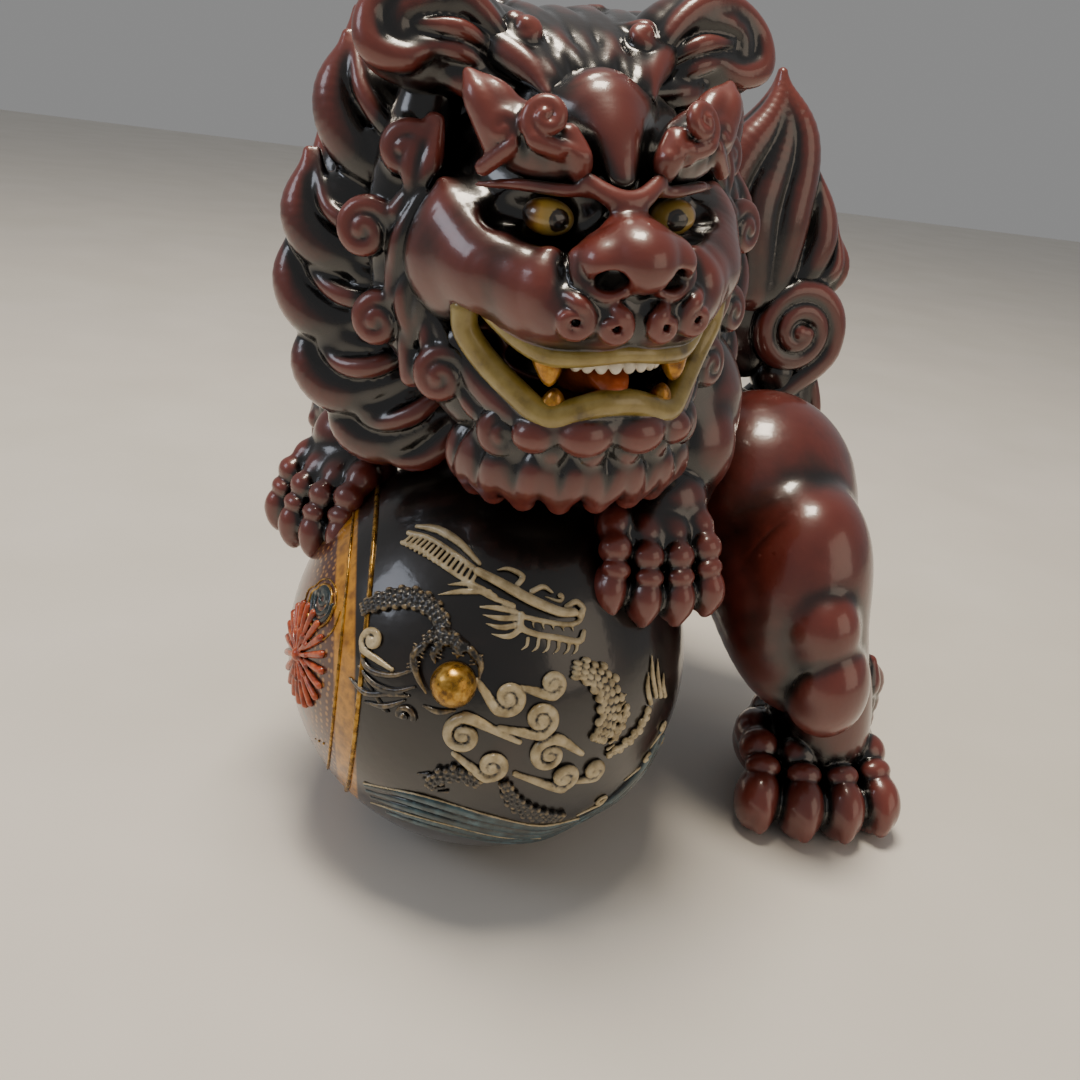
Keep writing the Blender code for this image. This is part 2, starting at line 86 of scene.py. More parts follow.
BALL_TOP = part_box("ball")[1].z
BALL_FOOT = 0.022
BALL_RADIUS = (BALL_TOP ** 2 + BALL_FOOT ** 2) / (2 * BALL_TOP)
BALL_CENTRE = Vector((0, 0, BALL_TOP - BALL_RADIUS))
FOOT_RIM = 0.005            # width of the bare ring that the ball stands on
FOOT_HOLLOW = 0.0015
PANEL_TURN = -80.0          # the painted panel's middle, round from the front
PANEL_REACH = 50.0          # degrees from its middle to its rim
MM = 0.001


def linear(code):
    """An sRGB hex colour as linear RGBA."""
    parts = [int(code[i:i + 2], 16) / 255 for i in (1, 3, 5)]
    return [c / 12.92 if c <= 0.04045 else ((c + 0.055) / 1.055) ** 2.4 for c in parts] + [1.0]


def finish_of(name, settings):
    """A new material with its shader's constant sockets set."""
    made = bpy.data.materials.new(name)
    made.use_nodes = True
    tree = made.node_tree
    shader = tree.nodes["Principled BSDF"]
    for socket, value in settings.items():
        shader.inputs[socket].default_value = value
    return made, tree, shader


def node(tree, kind, settings=None, links=None):
    """Adds a node. A setting is a property or a socket; a link feeds a socket from another node's."""
    made = tree.nodes.new("ShaderNode" + kind)
    for key, value in (settings or {}).items():
        if isinstance(key, str) and hasattr(made, key):
            setattr(made, key, value)
        else:
            made.inputs[key].default_value = value
    for key, source in (links or {}).items():
        tree.links.new(source, made.inputs[key])
    return made


def ramp(tree, factor, stops):
    """A colour that runs through the stops' hex colours."""
    made = node(tree, "ValToRGB", links={"Fac": factor})
    bar = made.color_ramp.elements
    while len(bar) < len(stops):
        bar.new(0.5)
    for element, (place, code) in zip(bar, stops):
        element.position = place
        element.color = linear(code)
    return made.outputs["Color"]


def turned(x=0.0, y=0.0, z=0.0):
    return Euler([math.radians(a) for a in (x, y, z)]).to_matrix().to_4x4()


def on_ball(turn, tilt, lift=0.0):
    """The point over the ball at turn degrees round from the front and tilt degrees up."""
    turn, tilt = math.radians(turn), math.radians(tilt)
    out = Vector((math.sin(turn) * math.cos(tilt), -math.cos(turn) * math.cos(tilt), math.sin(tilt)))
    return BALL_CENTRE + (BALL_RADIUS + lift) * out


def place_piece(name, mesh, material, nodes):
    """Puts a finished mesh in the scene, on the statue's one body."""
    mesh.shade_smooth()
    mesh.materials.append(material)
    piece = bpy.data.objects.new(name, mesh)
    bpy.context.scene.collection.objects.link(piece)
    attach(piece, "root")
    for replaced in nodes:
        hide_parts(replaced)
    return piece


def ball_skin():
    """The casting's outside, turned from its profile: the round wall, the foot's rim and its hollow."""
    bm = bmesh.new()
    low = math.asin(-BALL_CENTRE.z / BALL_RADIUS)
    profile = [on_ball(90, math.degrees(low + (math.pi / 2 - low) * i / 110)) for i in range(110, -1, -1)]
    inner = BALL_FOOT - FOOT_RIM
    foot = ((BALL_FOOT - 0.6 * MM, 0), (inner + 0.6 * MM, 0), (inner, 0.3 * MM), (inner - MM, FOOT_HOLLOW),
            (0, FOOT_HOLLOW))
    profile += [Vector((x, 0, z)) for x, z in foot]
    chain = [bm.verts.new(point) for point in profile]
    edges = [bm.edges.new(pair) for pair in zip(chain, chain[1:])]
    bmesh.ops.spin(bm, geom=chain + edges, cent=(0, 0, 0), axis=(0, 0, 1), angle=math.tau, steps=240)
    bmesh.ops.remove_doubles(bm, verts=bm.verts, dist=0.01 * MM)
    bmesh.ops.recalc_face_normals(bm, faces=bm.faces)
    mesh = bpy.data.meshes.new("ball_casting")
    bm.to_mesh(mesh)
    bm.free()
    return mesh


def finish_glass(tree, shader, where, shine, drift, width, detail, strength, depth, over):
    """What all the fired surfaces share: a shine that drifts within its two bounds, and low ripples as
    wide as width in the sockets that over names."""
    matt = node(tree, "MapRange", {"To Min": shine[0], "To Max": shine[1]}, {"Value": drift})
    tree.links.new(matt.outputs["Result"], shader.inputs["Roughness"])
    ripple = node(tree, "TexNoise", {"Scale": 1 / width, "Detail": detail}, {"Vector": where})
    bump = node(tree, "Bump", {"Strength": strength, "Distance": depth}, {"Height": ripple.outputs["Fac"]})
    for socket in over:
        tree.links.new(bump.outputs["Normal"], shader.inputs[socket])


def ball_glaze():
    """Black-brown glaze under a glassy top coat, with the painted ground of the panel on one side."""
    made, tree, shader = finish_of("black_brown_iron_glaze_with_painted_panel", {
        "IOR": 1.5, "Coat Weight": 0.8, "Coat Roughness": 0.10, "Coat IOR": 1.5})
    where = node(tree, "TexCoord").outputs["Object"]
    drift = node(tree, "TexNoise", {"Scale": 1 / (22 * MM), "Detail": 5.0}, {"Vector": where})
    ground = ramp(tree, drift.outputs["Fac"], [(0.30, "#070504"), (0.55, "#120B08"), (0.78, "#2A1A12")])

    # how far each spot is from the panel's middle, as a share of the panel's reach
    out = node(tree, "VectorMath", {"operation": "SUBTRACT", 1: BALL_CENTRE}, {0: where})
    unit = node(tree, "VectorMath", {"operation": "NORMALIZE"}, {0: out.outputs[0]})
    middle = (on_ball(PANEL_TURN, -3) - BALL_CENTRE).normalized()
    near = node(tree, "VectorMath", {"operation": "DOT_PRODUCT", 1: middle}, {0: unit.outputs[0]})
    angle = node(tree, "Math", {"operation": "ARCCOSINE"}, {0: near.outputs["Value"]})
    share = node(tree, "Math", {"operation": "DIVIDE", 1: math.radians(PANEL_REACH)}, {0: angle.outputs[0]})
    # a beaded ground inside, then the gold band, then the glaze of the ball
    dots = node(tree, "TexVoronoi", {"Scale": 1 / (2.2 * MM), "Randomness": 0.35}, {"Vector": where})
    beads = ramp(tree, dots.outputs["Distance"], [(0.20, "#A8753A"), (0.42, "#4A1F12")])
    petals = node(tree, "TexNoise", {"Scale": 1 / (9 * MM), "Detail": 2.0}, {"Vector": where})
    field = ramp(tree, petals.outputs["Fac"], [(0.40, "#5B2316"), (0.52, "#6E3A22"), (0.62, "#223036")])
    worn = node(tree, "TexNoise", {"Scale": 1 / (5 * MM), "Detail": 6.0}, {"Vector": where})
    gold = ramp(tree, worn.outputs["Fac"], [(0.35, "#8A5A12"), (0.55, "#C98A22"), (0.75, "#7A4E10")])
    colour = field
    for start, end, beyond in ((0.60, 0.66, beads), (0.835, 0.85, gold), (0.985, 1.0, ground)):
        edge = ramp(tree, share.outputs[0], [(start, "#000000"), (end, "#FFFFFF")])
        colour = node(tree, "Mix", {"data_type": "RGBA"}, {0: edge, 6: colour, 7: beyond}).outputs[2]
    tree.links.new(colour, shader.inputs["Base Color"])
    finish_glass(tree, shader, where, (0.22, 0.42), drift.outputs["Fac"], 4 * MM, 4.0, 0.18, 0.5 * MM,
                 ("Normal", "Coat Normal"))
    return made


place_piece("ball_casting", ball_skin(), ball_glaze(), ["ball"])


# The trunk is a second hollow casting of chest, belly and rump. All of the lion is soft clay worked
# lump on lump, so its pieces are built as one field of depths each, which is below zero inside.

GRAIN = 0.8 * MM            # the field's step, fine enough for the narrowest groove in the mane
ROOM = 12 * MM              # the room that a piece has round its place
FAR = 20 * MM               # the depth of empty room
SKIN = 2 * MM               # how deep under and over the skin the depth is always true
FIELD_LOW = np.array(cad_box[0]) - ROOM
FIELD_HIGH = np.array(cad_box[1]) + ROOM
MOST_FACES = 190_000        # triangles; a piece with more is meshed again with wider faces
WIDER = 0.003               # how readily its flat stretches are merged then, from 0 to 1


class Clay:
    """A piece of clay as depths on a grid, all pieces on grids that line up."""

    def __init__(self, nodes, grain=GRAIN):
        boxes = [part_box(name) for name in nodes]
        low = np.min([b[0] for b in boxes], axis=0) - ROOM
        high = np.max([b[1] for b in boxes], axis=0) + ROOM
        self.grain = grain
        self.first = np.floor((low - FIELD_LOW) / grain).astype(int)
        self.count = np.ceil((high - low) / grain).astype(int) + 1
        self.low = FIELD_LOW + self.first * grain
        self.depth = np.full(self.count, FAR, np.float32)

    def window(self, points, reach):
        """The part of the grid within reach of the points."""
        points = np.atleast_2d(points)
        first = np.floor((points.min(0) - reach - self.low) / self.grain).astype(int)
        last = np.ceil((points.max(0) + reach - self.low) / self.grain).astype(int) + 1
        first, last = np.clip(first, 0, self.count), np.clip(last, 0, self.count)
        return tuple(slice(a, b) for a, b in zip(first, last))

    def axes(self, window):
        """The places of a window's grid lines, shaped to be combined."""
        lines = [self.low[i] + self.grain * np.arange(window[i].start, window[i].stop, dtype=np.float32)
                 for i in range(3)]
        return np.ix_(*[line.astype(np.float32) for line in lines])

    def work(self, window, new, melt, cut):
        """Adds or cuts a shape, with a fillet as wide as melt."""
        old = self.depth[window]
        if cut:
            blend = np.maximum(melt - np.abs(old + new), 0) / melt
            self.depth[window] = np.maximum(old, -new) + blend * blend * (melt / 4)
        else:
            blend = np.maximum(melt - np.abs(old - new), 0) / melt
            self.depth[window] = np.minimum(old, new) - blend * blend * (melt / 4)

    def tube(self, line, thick, melt, cut=False, flat=None):
        """A round-ended roll along a line. flat is a normal and how many times thinner it is there."""
        reach = max(melt, SKIN) + 2 * self.grain
        window = self.window(line, thick.max() + reach)
        new = np.full([s.stop - s.start for s in window], FAR, np.float32)
        for a, b, start, end in zip(line, line[1:], thick, thick[1:]):
            part = self.window(np.array([a, b]), max(start, end) + reach)
            x, y, z = self.axes(part)
            along = b - a
            x, y, z = x - a[0], y - a[1], z - a[2]
            share = (x * along[0] + y * along[1] + z * along[2]) / max(along @ along, 1e-12)
            share = np.clip(share, 0, 1)
            x, y, z = x - share * along[0], y - share * along[1], z - share * along[2]
            square = x * x + y * y + z * z
            if flat:
                square += (flat[1] ** 2 - 1) * (x * flat[0][0] + y * flat[0][1] + z * flat[0][2]) ** 2
            shape = np.sqrt(square) - (start + (end - start) * share)
            inner = tuple(slice(p.start - w.start, p.stop - w.start) for p, w in zip(part, window))
            new[inner] = np.minimum(new[inner], shape)
        self.work(window, new, melt, cut)

    def mesh(self, name):
        """The skin of the clay, as quads, or with wider faces on a piece that would have too many."""
        grid = openvdb.FloatGrid(FAR)
        grid.copyFromArray(self.depth)
        points, triangles, quads = grid.convertToPolygons(isovalue=0.0, adaptivity=0.0)
        if 2 * len(quads) > MOST_FACES:
            points, triangles, quads = grid.convertToPolygons(isovalue=0.0, adaptivity=WIDER)
        made = bpy.data.meshes.new(name)
        made.from_pydata(self.low + self.grain * points.astype(float), [],
                         triangles.tolist() + quads.tolist())
        return made


def pebble(clay, frame, centre, radii, turn=(0, 0, 0), melt=3, cut=False):
    """An ellipsoid in a frame's own units. melt is its fillet, in millimetres, here and below."""
    melt = melt * MM
    place = np.array(frame @ Matrix.Translation(centre) @ turned(*turn) @ Matrix.Diagonal((*radii, 1)))
    stretch, middle = place[:3, :3], place[:3, 3]
    half = np.sqrt((stretch ** 2).sum(1))
    window = clay.window(np.array([middle - half, middle + half]), max(melt, SKIN) + 2 * clay.grain)
    x, y, z = [axis - c for axis, c in zip(clay.axes(window), middle)]
    inverse = np.linalg.inv(stretch)
    q = [row[0] * x + row[1] * y + row[2] * z for row in inverse]
    size = np.maximum(np.sqrt(q[0] ** 2 + q[1] ** 2 + q[2] ** 2), 0.02)
    slope = [col[0] * q[0] + col[1] * q[1] + col[2] * q[2] for col in inverse.T]
    steep = np.sqrt(slope[0] ** 2 + slope[1] ** 2 + slope[2] ** 2) + 1e-9
    clay.work(window, size * (size - 1) / steep, melt, cut)


def smooth_line(points, radii, fine):
    """A smooth line through the points, and its radius on the way."""
    points = np.array(points, float)
    radii = np.interp(np.linspace(0, 1, len(points)), np.linspace(0, 1, len(radii)), radii)
    rows = np.column_stack([points, radii])
    rows = np.vstack([2 * rows[0] - rows[1], rows, 2 * rows[-1] - rows[-2]])
    line = []
    for a, b, c, d in zip(rows, rows[1:], rows[2:], rows[3:]):
        for t in np.arange(fine) / fine:
            line.append(b + 0.5 * ((c - a) * t + (2 * a - 5 * b + 4 * c - d) * t ** 2
                                   + (3 * b - a - 3 * c + d) * t ** 3))
    line = np.array(line + [rows[-2]])
    return line[:, :3], np.maximum(line[:, 3], 1e-5)


def in_world(frame, points):
    return np.array([frame @ Vector(point) for point in points])


def unit_of(frame):
    return abs(frame.to_scale()[0])


def roll(clay, frame, points, radii, melt=2, cut=False, flat=None, fine=5):
    """A roll of clay bent smoothly through the points, in a frame's own units."""
    line, thick = smooth_line(in_world(frame, points), np.array(radii) * unit_of(frame), fine)
    if flat:
        normal = np.array((frame.to_3x3() @ Vector(flat[0])).normalized())
        flat = (normal, flat[1])
    clay.tube(line, thick, melt * MM, cut, flat)


def within(name, x, y, z):
    """The point at those shares of a CAD node's box."""
    low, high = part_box(name)
    return Vector([a + (b - a) * share for a, b, share in zip(low, high, (x, y, z))])


WORLD = Matrix()
CHEST = within("trunk", 0.282, 0.294, 0.671)
RUMP = within("trunk", 0.754, 0.734, 0.295)
TRUNK_RADIUS = 0.243 * (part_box("trunk")[1].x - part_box("trunk")[0].x)
LIONS = []                  # every piece of the lion, to be glazed together once all stand


def shaped(node_name, kind, clay, part=None):
    """Takes the clay's skin as the piece that stands for a CAD node. It waits for its glaze."""
    name = f"{part or node_name}_{kind}"
    LIONS.append((place_piece(name, clay.mesh(name), IRON_GLAZE, [node_name]), clay))


def iron_glaze():
    """Iron-red glaze over black-brown: fired glassy, red where it is thin on a swell and near black where it
    pools in a groove. ridge, mass and the widest field tell swells from grooves, at three widths; the widest
    also darkens undersides, deep hollows and joins as painted shade."""
    made, tree, shader = finish_of("iron_red_over_black_brown_glaze", {
        "IOR": 1.5, "Coat Weight": 0.9, "Coat Roughness": 0.13, "Coat IOR": 1.5})
    where = node(tree, "TexCoord").outputs["Object"]
    drift = node(tree, "TexNoise", {"Scale": 1 / (14 * MM), "Detail": 5.0}, {"Vector": where})
    height = None
    # the widest field is painted shade as well as pooled glaze: it blackens the undersides and deep hollows
    for name, weight in (("ridge", 0.60), ("mass", 1.30), ("wide_pool_and_shade", 0.40), ("paint", 1.0)):
        field = node(tree, "Attribute", {"attribute_name": name})
        part = node(tree, "Math", {"operation": "MULTIPLY", 1: weight},
                    {0: field.outputs["Fac"]})
        if height is None:
            height = part
        else:
            height = node(tree, "Math", {"operation": "ADD"},
                          {0: height.outputs[0], 1: part.outputs[0]})
    loose = node(tree, "MapRange", {"To Min": 0.02, "To Max": 0.42},
                 {"Value": drift.outputs["Fac"]})
    # thin is how red the glaze shows: thin glaze on swells, and less of the painted shade of the widest field
    thin = node(tree, "Math", {"operation": "ADD", "use_clamp": True},
                {0: height.outputs[0], 1: loose.outputs["Result"]})
    colour = ramp(tree, thin.outputs[0], [(0.20, "#070505"), (0.38, "#160B09"), (0.50, "#3A1610"),
                                          (0.62, "#57211A"), (0.95, "#6C2D23")])
    tree.links.new(colour, shader.inputs["Base Color"])
    finish_glass(tree, shader, where, (0.22, 0.40), thin.outputs[0], 3 * MM, 5.0, 0.16, 0.4 * MM,
                 ("Normal", "Coat Normal"))
    return made


IRON_GLAZE = iron_glaze()


def shape_trunk():
    clay = Clay(["trunk"])
    r = TRUNK_RADIUS
    pebble(clay, WORLD, CHEST, (1.12 * r, 1.02 * r, 1.02 * r), melt=10)
    pebble(clay, WORLD, RUMP, (1.02 * r, 0.98 * r, 0.95 * r), melt=10)
    back = CHEST.lerp(RUMP, 0.5) + Vector((0, 0, 0.10 * r))
    roll(clay, WORLD, [CHEST, back, RUMP], (0.98 * r, 0.86 * r, 0.93 * r), 10)
    for share in (0.15, 0.4, 0.65, 0.9, 1.15):
        knob = CHEST.lerp(RUMP, share) + Vector((-0.05 * r, 0.05 * r, (0.90 - 0.05 * share) * r))
        pebble(clay, WORLD, knob, (0.17 * r, 0.17 * r, 0.13 * r), melt=4)
    for share in (0.30, 0.46, 0.62):
        for side in (-1, 1):
            across = Vector((RUMP.y - CHEST.y, CHEST.x - RUMP.x, 0)).normalized() * side
            rib = [CHEST.lerp(RUMP, share) + out * r * across + Vector((0, 0, up * r))
                   for out, up in ((0.62, 0.62), (0.90, 0.05), (0.74, -0.45))]
            roll(clay, WORLD, rib, (0.05 * r, 0.09 * r, 0.04 * r), 6)
    return clay


shaped("trunk", "casting", shape_trunk())


# The head is a hollow casting: round skull and cheeks, a short muzzle, deep eye sockets, and lips
# rolled out round the open mouth. Its own frame has -Y forward, and half the bare head's width as 1.

HEAD_WIDTH = 2.185          # the CAD head's box, turned as it is, in the head's own units
HEAD_UNIT = (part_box("head")[1].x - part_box("head")[0].x) / HEAD_WIDTH
HEAD_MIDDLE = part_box("head")[0].lerp(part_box("head")[1], 0.5) + HEAD_UNIT * Vector((-0.067, 0.178, 0.027))
HEAD = Matrix.Translation(HEAD_MIDDLE) @ turned(y=-4) @ turned(z=22) @ Matrix.Scale(HEAD_UNIT, 4)
SIDES = ((-1, "right"), (1, "left"))
UPPER_LIP = ((0.00, -1.16, -0.52), (0.14, -1.15, -0.53), (0.28, -1.10, -0.55), (0.42, -1.00, -0.55),
             (0.54, -0.88, -0.48), (0.64, -0.76, -0.38), (0.72, -0.69, -0.29), (0.78, -0.65, -0.27))
LOWER_LIP = ((0.82, -0.62, -0.35), (0.80, -0.62, -0.49), (0.69, -0.68, -0.66), (0.54, -0.82, -0.82),
             (0.43, -0.93, -0.92), (0.34, -0.98, -0.93), (0.23, -1.02, -0.89), (0.11, -1.05, -0.85),
             (0.00, -1.06, -0.84))
POCKET = ((0.00, -0.98, -0.69), (0.22, -0.96, -0.71), (0.38, -0.87, -0.73), (0.52, -0.77, -0.65),
          (0.63, -0.68, -0.52), (0.73, -0.60, -0.41), (0.77, -0.60, -0.35))
POCKET_DEPTH = (0.13, 0.145, 0.155, 0.15, 0.13, 0.085, 0.04)
UPPER_ROLL = (0.068, 0.068, 0.068, 0.066, 0.058) + (0.048,) * 5 + (0.058, 0.066, 0.068, 0.068, 0.068)
LIP_THICK = 0.072


def both(points):
    """A row of points that starts on the middle line, carried on to the other side."""
    return [(-x, y, z) for x, y, z in reversed(points[1:])] + list(points)


def half(side):
    """The head's frame for one side, so that a shape is written once, as it is on the left."""
    return HEAD @ Matrix.Diagonal((side, 1, 1, 1))


def cut_mouth(clay):
    """The pocket between the lips, and the hollow of the throat behind it."""
    for reach in (1.18, 1.05, 0.92, 0.78, 0.62):
        line = [(x * reach, (y + 0.2) * reach - 0.2, z) for x, y, z in both(POCKET)]
        roll(clay, HEAD, line, POCKET_DEPTH[:0:-1] + POCKET_DEPTH, 0.5, cut=True)
    pebble(clay, HEAD, (0, -0.50, -0.68), (0.50, 0.50, 0.17), melt=1, cut=True)


def curl(clay, frame, centre, normal, root, reach, thick, turns=1.1, hand=1, rise=0.05, melt=1,
         start_thick=1.0, knob=0.0):
    """A lock that runs from its root and winds in round a centre, rising along the normal."""
    scale = unit_of(frame)
    normal = (frame.to_3x3() @ Vector(normal)).normalized()
    centre, root = frame @ Vector(centre), frame @ Vector(root)
    out = root - centre
    out -= normal * out.dot(normal)
    far = out.length / scale
    out.normalize()
    across = normal.cross(out) * hand * math.copysign(1, frame.determinant())
    first = math.acos(min(1.0, reach / far)) if far > reach else 0.0
    points, radii = [root], [thick * start_thick]
    steps = max(6, round(10 * turns))
    for i in range(steps + 1):
        share = i / steps
        angle = first + math.tau * turns * share
        wide = reach * (1 - 0.82 * share ** 0.85) * scale
        points.append(centre + wide * (math.cos(angle) * out + math.sin(angle) * across)
                      + normal * rise * share * scale)
        radii.append(thick * (1 - 0.35 * share))
    line, wide = smooth_line([tuple(p) for p in points], np.array(radii) * scale, 4)
    clay.tube(line, wide, melt * MM)
    if knob:
        top = np.array([centre + normal * rise * scale] * 2)
        clay.tube(top, np.array([thick * knob * scale] * 2), melt * MM)


def shape_head():
    clay = Clay(["head"])
    for centre, radii, turn, melt in (((0, 0.20, 0.10), (0.92, 0.86, 0.84), 0, 3),
                                      ((0, -0.02, -0.62), (0.74, 0.60, 0.44), 0, 8),
                                      ((0, -0.40, 0.30), (0.62, 0.46, 0.46), 0, 6),
                                      ((0, -0.22, 0.58), (0.70, 0.46, 0.36), 0, 6),
                                      ((0, -0.72, -0.26), (0.60, 0.54, 0.33), 0, 8),
                                      ((0, -0.40, 0.66), (0.50, 0.38, 0.28), 24, 5)):
        pebble(clay, HEAD, centre, radii, (turn, 0, 0), melt)
    # the forehead's bulge narrows to a drop between the brows, with a crescent under it
    roll(clay, HEAD, [(0, -0.52, 0.68), (0, -0.68, 0.60), (0, -0.80, 0.50), (0, -0.88, 0.41)],
         (0.30, 0.22, 0.15, 0.105), 3, fine=12)
    roll(clay, HEAD, both([(0, -1.04, 0.30), (0.10, -1.02, 0.32), (0.22, -0.95, 0.40)]),
         (0.045, 0.06, 0.06, 0.06, 0.045), 1.5)
    pebble(clay, HEAD, (0, -1.04, 0.17), (0.13, 0.05, 0.035), melt=1.5)
    # nose: a broad low bridge and a round tip, with a wing over each nostril
    roll(clay, HEAD, [(0, -0.92, 0.05), (0, -1.04, 0.07), (0, -1.18, 0.06)], (0.14, 0.16, 0.17), 5, fine=8)
    pebble(clay, HEAD, (0, -1.12, 0.03), (0.32, 0.24, 0.14), (-12, 0, 0), 6)
    pebble(clay, HEAD, (0, -1.33, 0.00), (0.17, 0.14, 0.15), melt=5)
    for side, _ in SIDES:
        here = half(side)
        # cheek, drawn up to a point beside the eye
        pebble(clay, here, (0.66, -0.30, -0.10), (0.45, 0.38, 0.46), melt=7)
        roll(clay, here, [(0.66, -0.48, -0.06), (0.79, -0.42, 0.12), (0.88, -0.36, 0.32)],
             (0.24, 0.15, 0.03), 5)
        roll(clay, here, [(0.84, -0.40, 0.14), (0.70, -0.64, -0.04), (0.54, -0.84, -0.12)],
             (0.10, 0.17, 0.18), 8)
        pebble(clay, here, (0.62, -0.62, -0.16), (0.29, 0.29, 0.24), melt=9)
        # muzzle beside the nose, in upright pads
        pebble(clay, here, (0.26, -1.04, -0.28), (0.25, 0.22, 0.19), melt=4)
        pebble(clay, here, (0.47, -0.88, -0.22), (0.22, 0.26, 0.26), melt=5)
        pebble(clay, here, (0.22, -1.20, 0.00), (0.13, 0.16, 0.12))
        roll(clay, here, [(0.33, -1.14, 0.02), (0.33, -1.20, -0.10), (0.22, -1.27, -0.17),
                          (0.10, -1.30, -0.15)], (0.05, 0.045, 0.04, 0.03), 1.5)
        roll(clay, here, [(0.44, -1.01, 0.00), (0.49, -1.05, -0.16), (0.44, -1.07, -0.36)],
             (0.06, 0.11, 0.09), 2.5)
        roll(clay, here, [(0.56, -1.02, -0.04), (0.61, -1.02, -0.18), (0.57, -1.04, -0.32)],
             (0.01, 0.028, 0.01), 1.5, cut=True)
        # eye socket, with a low lid ridge over it
        pebble(clay, here, (0.42, -0.86, 0.19), (0.23, 0.17, 0.145), (0, -8, 24), cut=True)
        pebble(clay, here, (0.62, -0.72, 0.21), (0.12, 0.12, 0.10), cut=True)
        pebble(clay, here, (0.20, -0.96, 0.17), (0.10, 0.10, 0.08), cut=True)
        roll(clay, here, [(0.20, -0.93, 0.34), (0.36, -0.90, 0.345), (0.56, -0.78, 0.36),
                          (0.74, -0.58, 0.34)], (0.03, 0.04, 0.035, 0.015), 3)
        # groove between forehead and temple
        roll(clay, here, [(0.22, -0.86, 0.56), (0.36, -0.70, 0.72), (0.46, -0.42, 0.88)],
             (0.05, 0.07, 0.05), 4, cut=True)
        # the two curls under the nose
        for x, y, z, size in ((0.37, -1.23, -0.31, 0.105), (0.150, -1.29, -0.34, 0.085)):
            pebble(clay, here, (x, y + 0.12, z + 0.02), (0.14, 0.14, 0.15), melt=2.5)
            curl(clay, here, (x, y, z), (0.35, -1, -0.15), (x + 0.06, y + 0.16, z + 0.15), size, 0.052,
                 turns=1.25, rise=0.04, melt=0.6)
            pebble(clay, here, (x, y - 0.04, z), (0.024, 0.05, 0.024), melt=0.5, cut=True)
        pebble(clay, here, (0.20, -1.34, -0.09), (0.095, 0.16, 0.065), (18, 0, 26), 1.5, cut=True)
    roll(clay, HEAD, both([(x * 0.97, y + 0.08, z + 0.13) for x, y, z in UPPER_LIP[:5]]), (0.115,), 5)
    cut_mouth(clay)
    roll(clay, HEAD, both(UPPER_LIP), UPPER_ROLL, 1.2)
    return clay


shaped("head", "casting", shape_head())


# The lower jaw is pressed separately and luted in under the mouth, its lip rolled out like the
# upper one and its chin set off in two round lobes on each side.

def shape_jaw():
    clay = Clay(["lower_jaw"])
    pebble(clay, HEAD, (0, -0.50, -1.04), (0.58, 0.56, 0.17), melt=6)
    roll(clay, HEAD, both([(0.0, -0.98, -1.00), (0.30, -0.94, -1.02), (0.52, -0.74, -0.96),
                           (0.68, -0.54, -0.80), (0.78, -0.40, -0.60)]), (0.12,), 4)
    for side, _ in SIDES:
        pebble(clay, half(side), (0.17, -1.04, -1.05), (0.17, 0.12, 0.13), melt=1.5)
        pebble(clay, half(side), (0.44, -0.90, -1.06), (0.15, 0.13, 0.12), melt=1.5)
    cut_mouth(clay)
    roll(clay, HEAD, both(LOWER_LIP[::-1]), (LIP_THICK,), 1.2)
    return clay


shaped("lower_jaw", "pressing", shape_jaw())


# Tongue, teeth and fangs are small rolls set in the mouth: the tongue in coral enamel, the front
# teeth in white, and the four fangs in gold, all painted over the fired glaze.

FINE = 0.4 * MM             # the step for small pieces


def enamel(name, stops, scale, rough, settings, wear=0.0):
    """An overglaze enamel: its colour drifts with the thickness of the brush stroke. wear shows the
    black-brown ground on the edges and in the grooves."""
    made, tree, shader = finish_of(name, dict({"IOR": 1.5, "Coat Weight": 0.6, "Coat Roughness": 0.12},
                                              **settings))
    where = node(tree, "TexCoord").outputs["Object"]
    drift = node(tree, "TexNoise", {"Scale": 1 / scale, "Detail": 6.0}, {"Vector": where})
    colour = ramp(tree, drift.outputs["Fac"], stops)
    if wear:
        field = node(tree, "Attribute", {"attribute_name": "ridge"})
        lean = node(tree, "Math", {"operation": "MULTIPLY_ADD", 1: 0.9, 2: wear},
                    {0: field.outputs["Fac"]})
        spots = node(tree, "TexNoise", {"Scale": 1 / (1.6 * MM), "Detail": 5.0},
                     {"Vector": where})
        shown = node(tree, "Math", {"operation": "MULTIPLY_ADD", 1: 0.55, "use_clamp": True},
                     {0: spots.outputs["Fac"], 2: lean.outputs[0]})
        cover = ramp(tree, shown.outputs[0], [(0.42, "#000000"), (0.62, "#FFFFFF")])
        mixed = node(tree, "Mix", {"data_type": "RGBA", 6: linear("#0D0805")},
                     {0: cover, 7: colour})
        colour = mixed.outputs[2]
    tree.links.new(colour, shader.inputs["Base Color"])
    finish_glass(tree, shader, where, (rough - 0.08, rough + 0.12), drift.outputs["Fac"], 1.2 * MM, 4.0, 0.25,
                 0.2 * MM, ("Normal",))
    return made


FANG_GOLD = enamel("overglaze_gold_on_fangs", [(0.30, "#6E430C"), (0.55, "#B8801E"), (0.75, "#D9A544")],
                   2.5 * MM, 0.30, {"Metallic": 0.65})
TONGUE_CORAL = enamel("coral_enamel_on_tongue", [(0.30, "#8A3A14"), (0.60, "#BE5A26")], 5 * MM, 0.30, {})
TOOTH_WHITE = enamel("white_enamel", [(0.30, "#B5AB97"), (0.65, "#DDD6C6")], 4 * MM, 0.30, {})


def fine_piece(name, clay, material, nodes):
    """A piece with an enamel of its own, which isn't glazed with the lion."""
    return place_piece(name, clay.mesh(name), material, nodes)


def shape_tongue():
    clay = Clay(["tongue"], FINE)
    roll(clay, HEAD, [(0, -0.40, -0.90), (0, -0.66, -0.76), (0, -0.88, -0.72), (0, -1.00, -0.77)],
         (0.16, 0.17, 0.14, 0.09), flat=((0, -0.3, 1), 1.5))
    roll(clay, HEAD, [(0, -0.50, -0.73), (0, -0.72, -0.655), (0, -0.90, -0.655)], (0.02,), 1, cut=True)
    return clay


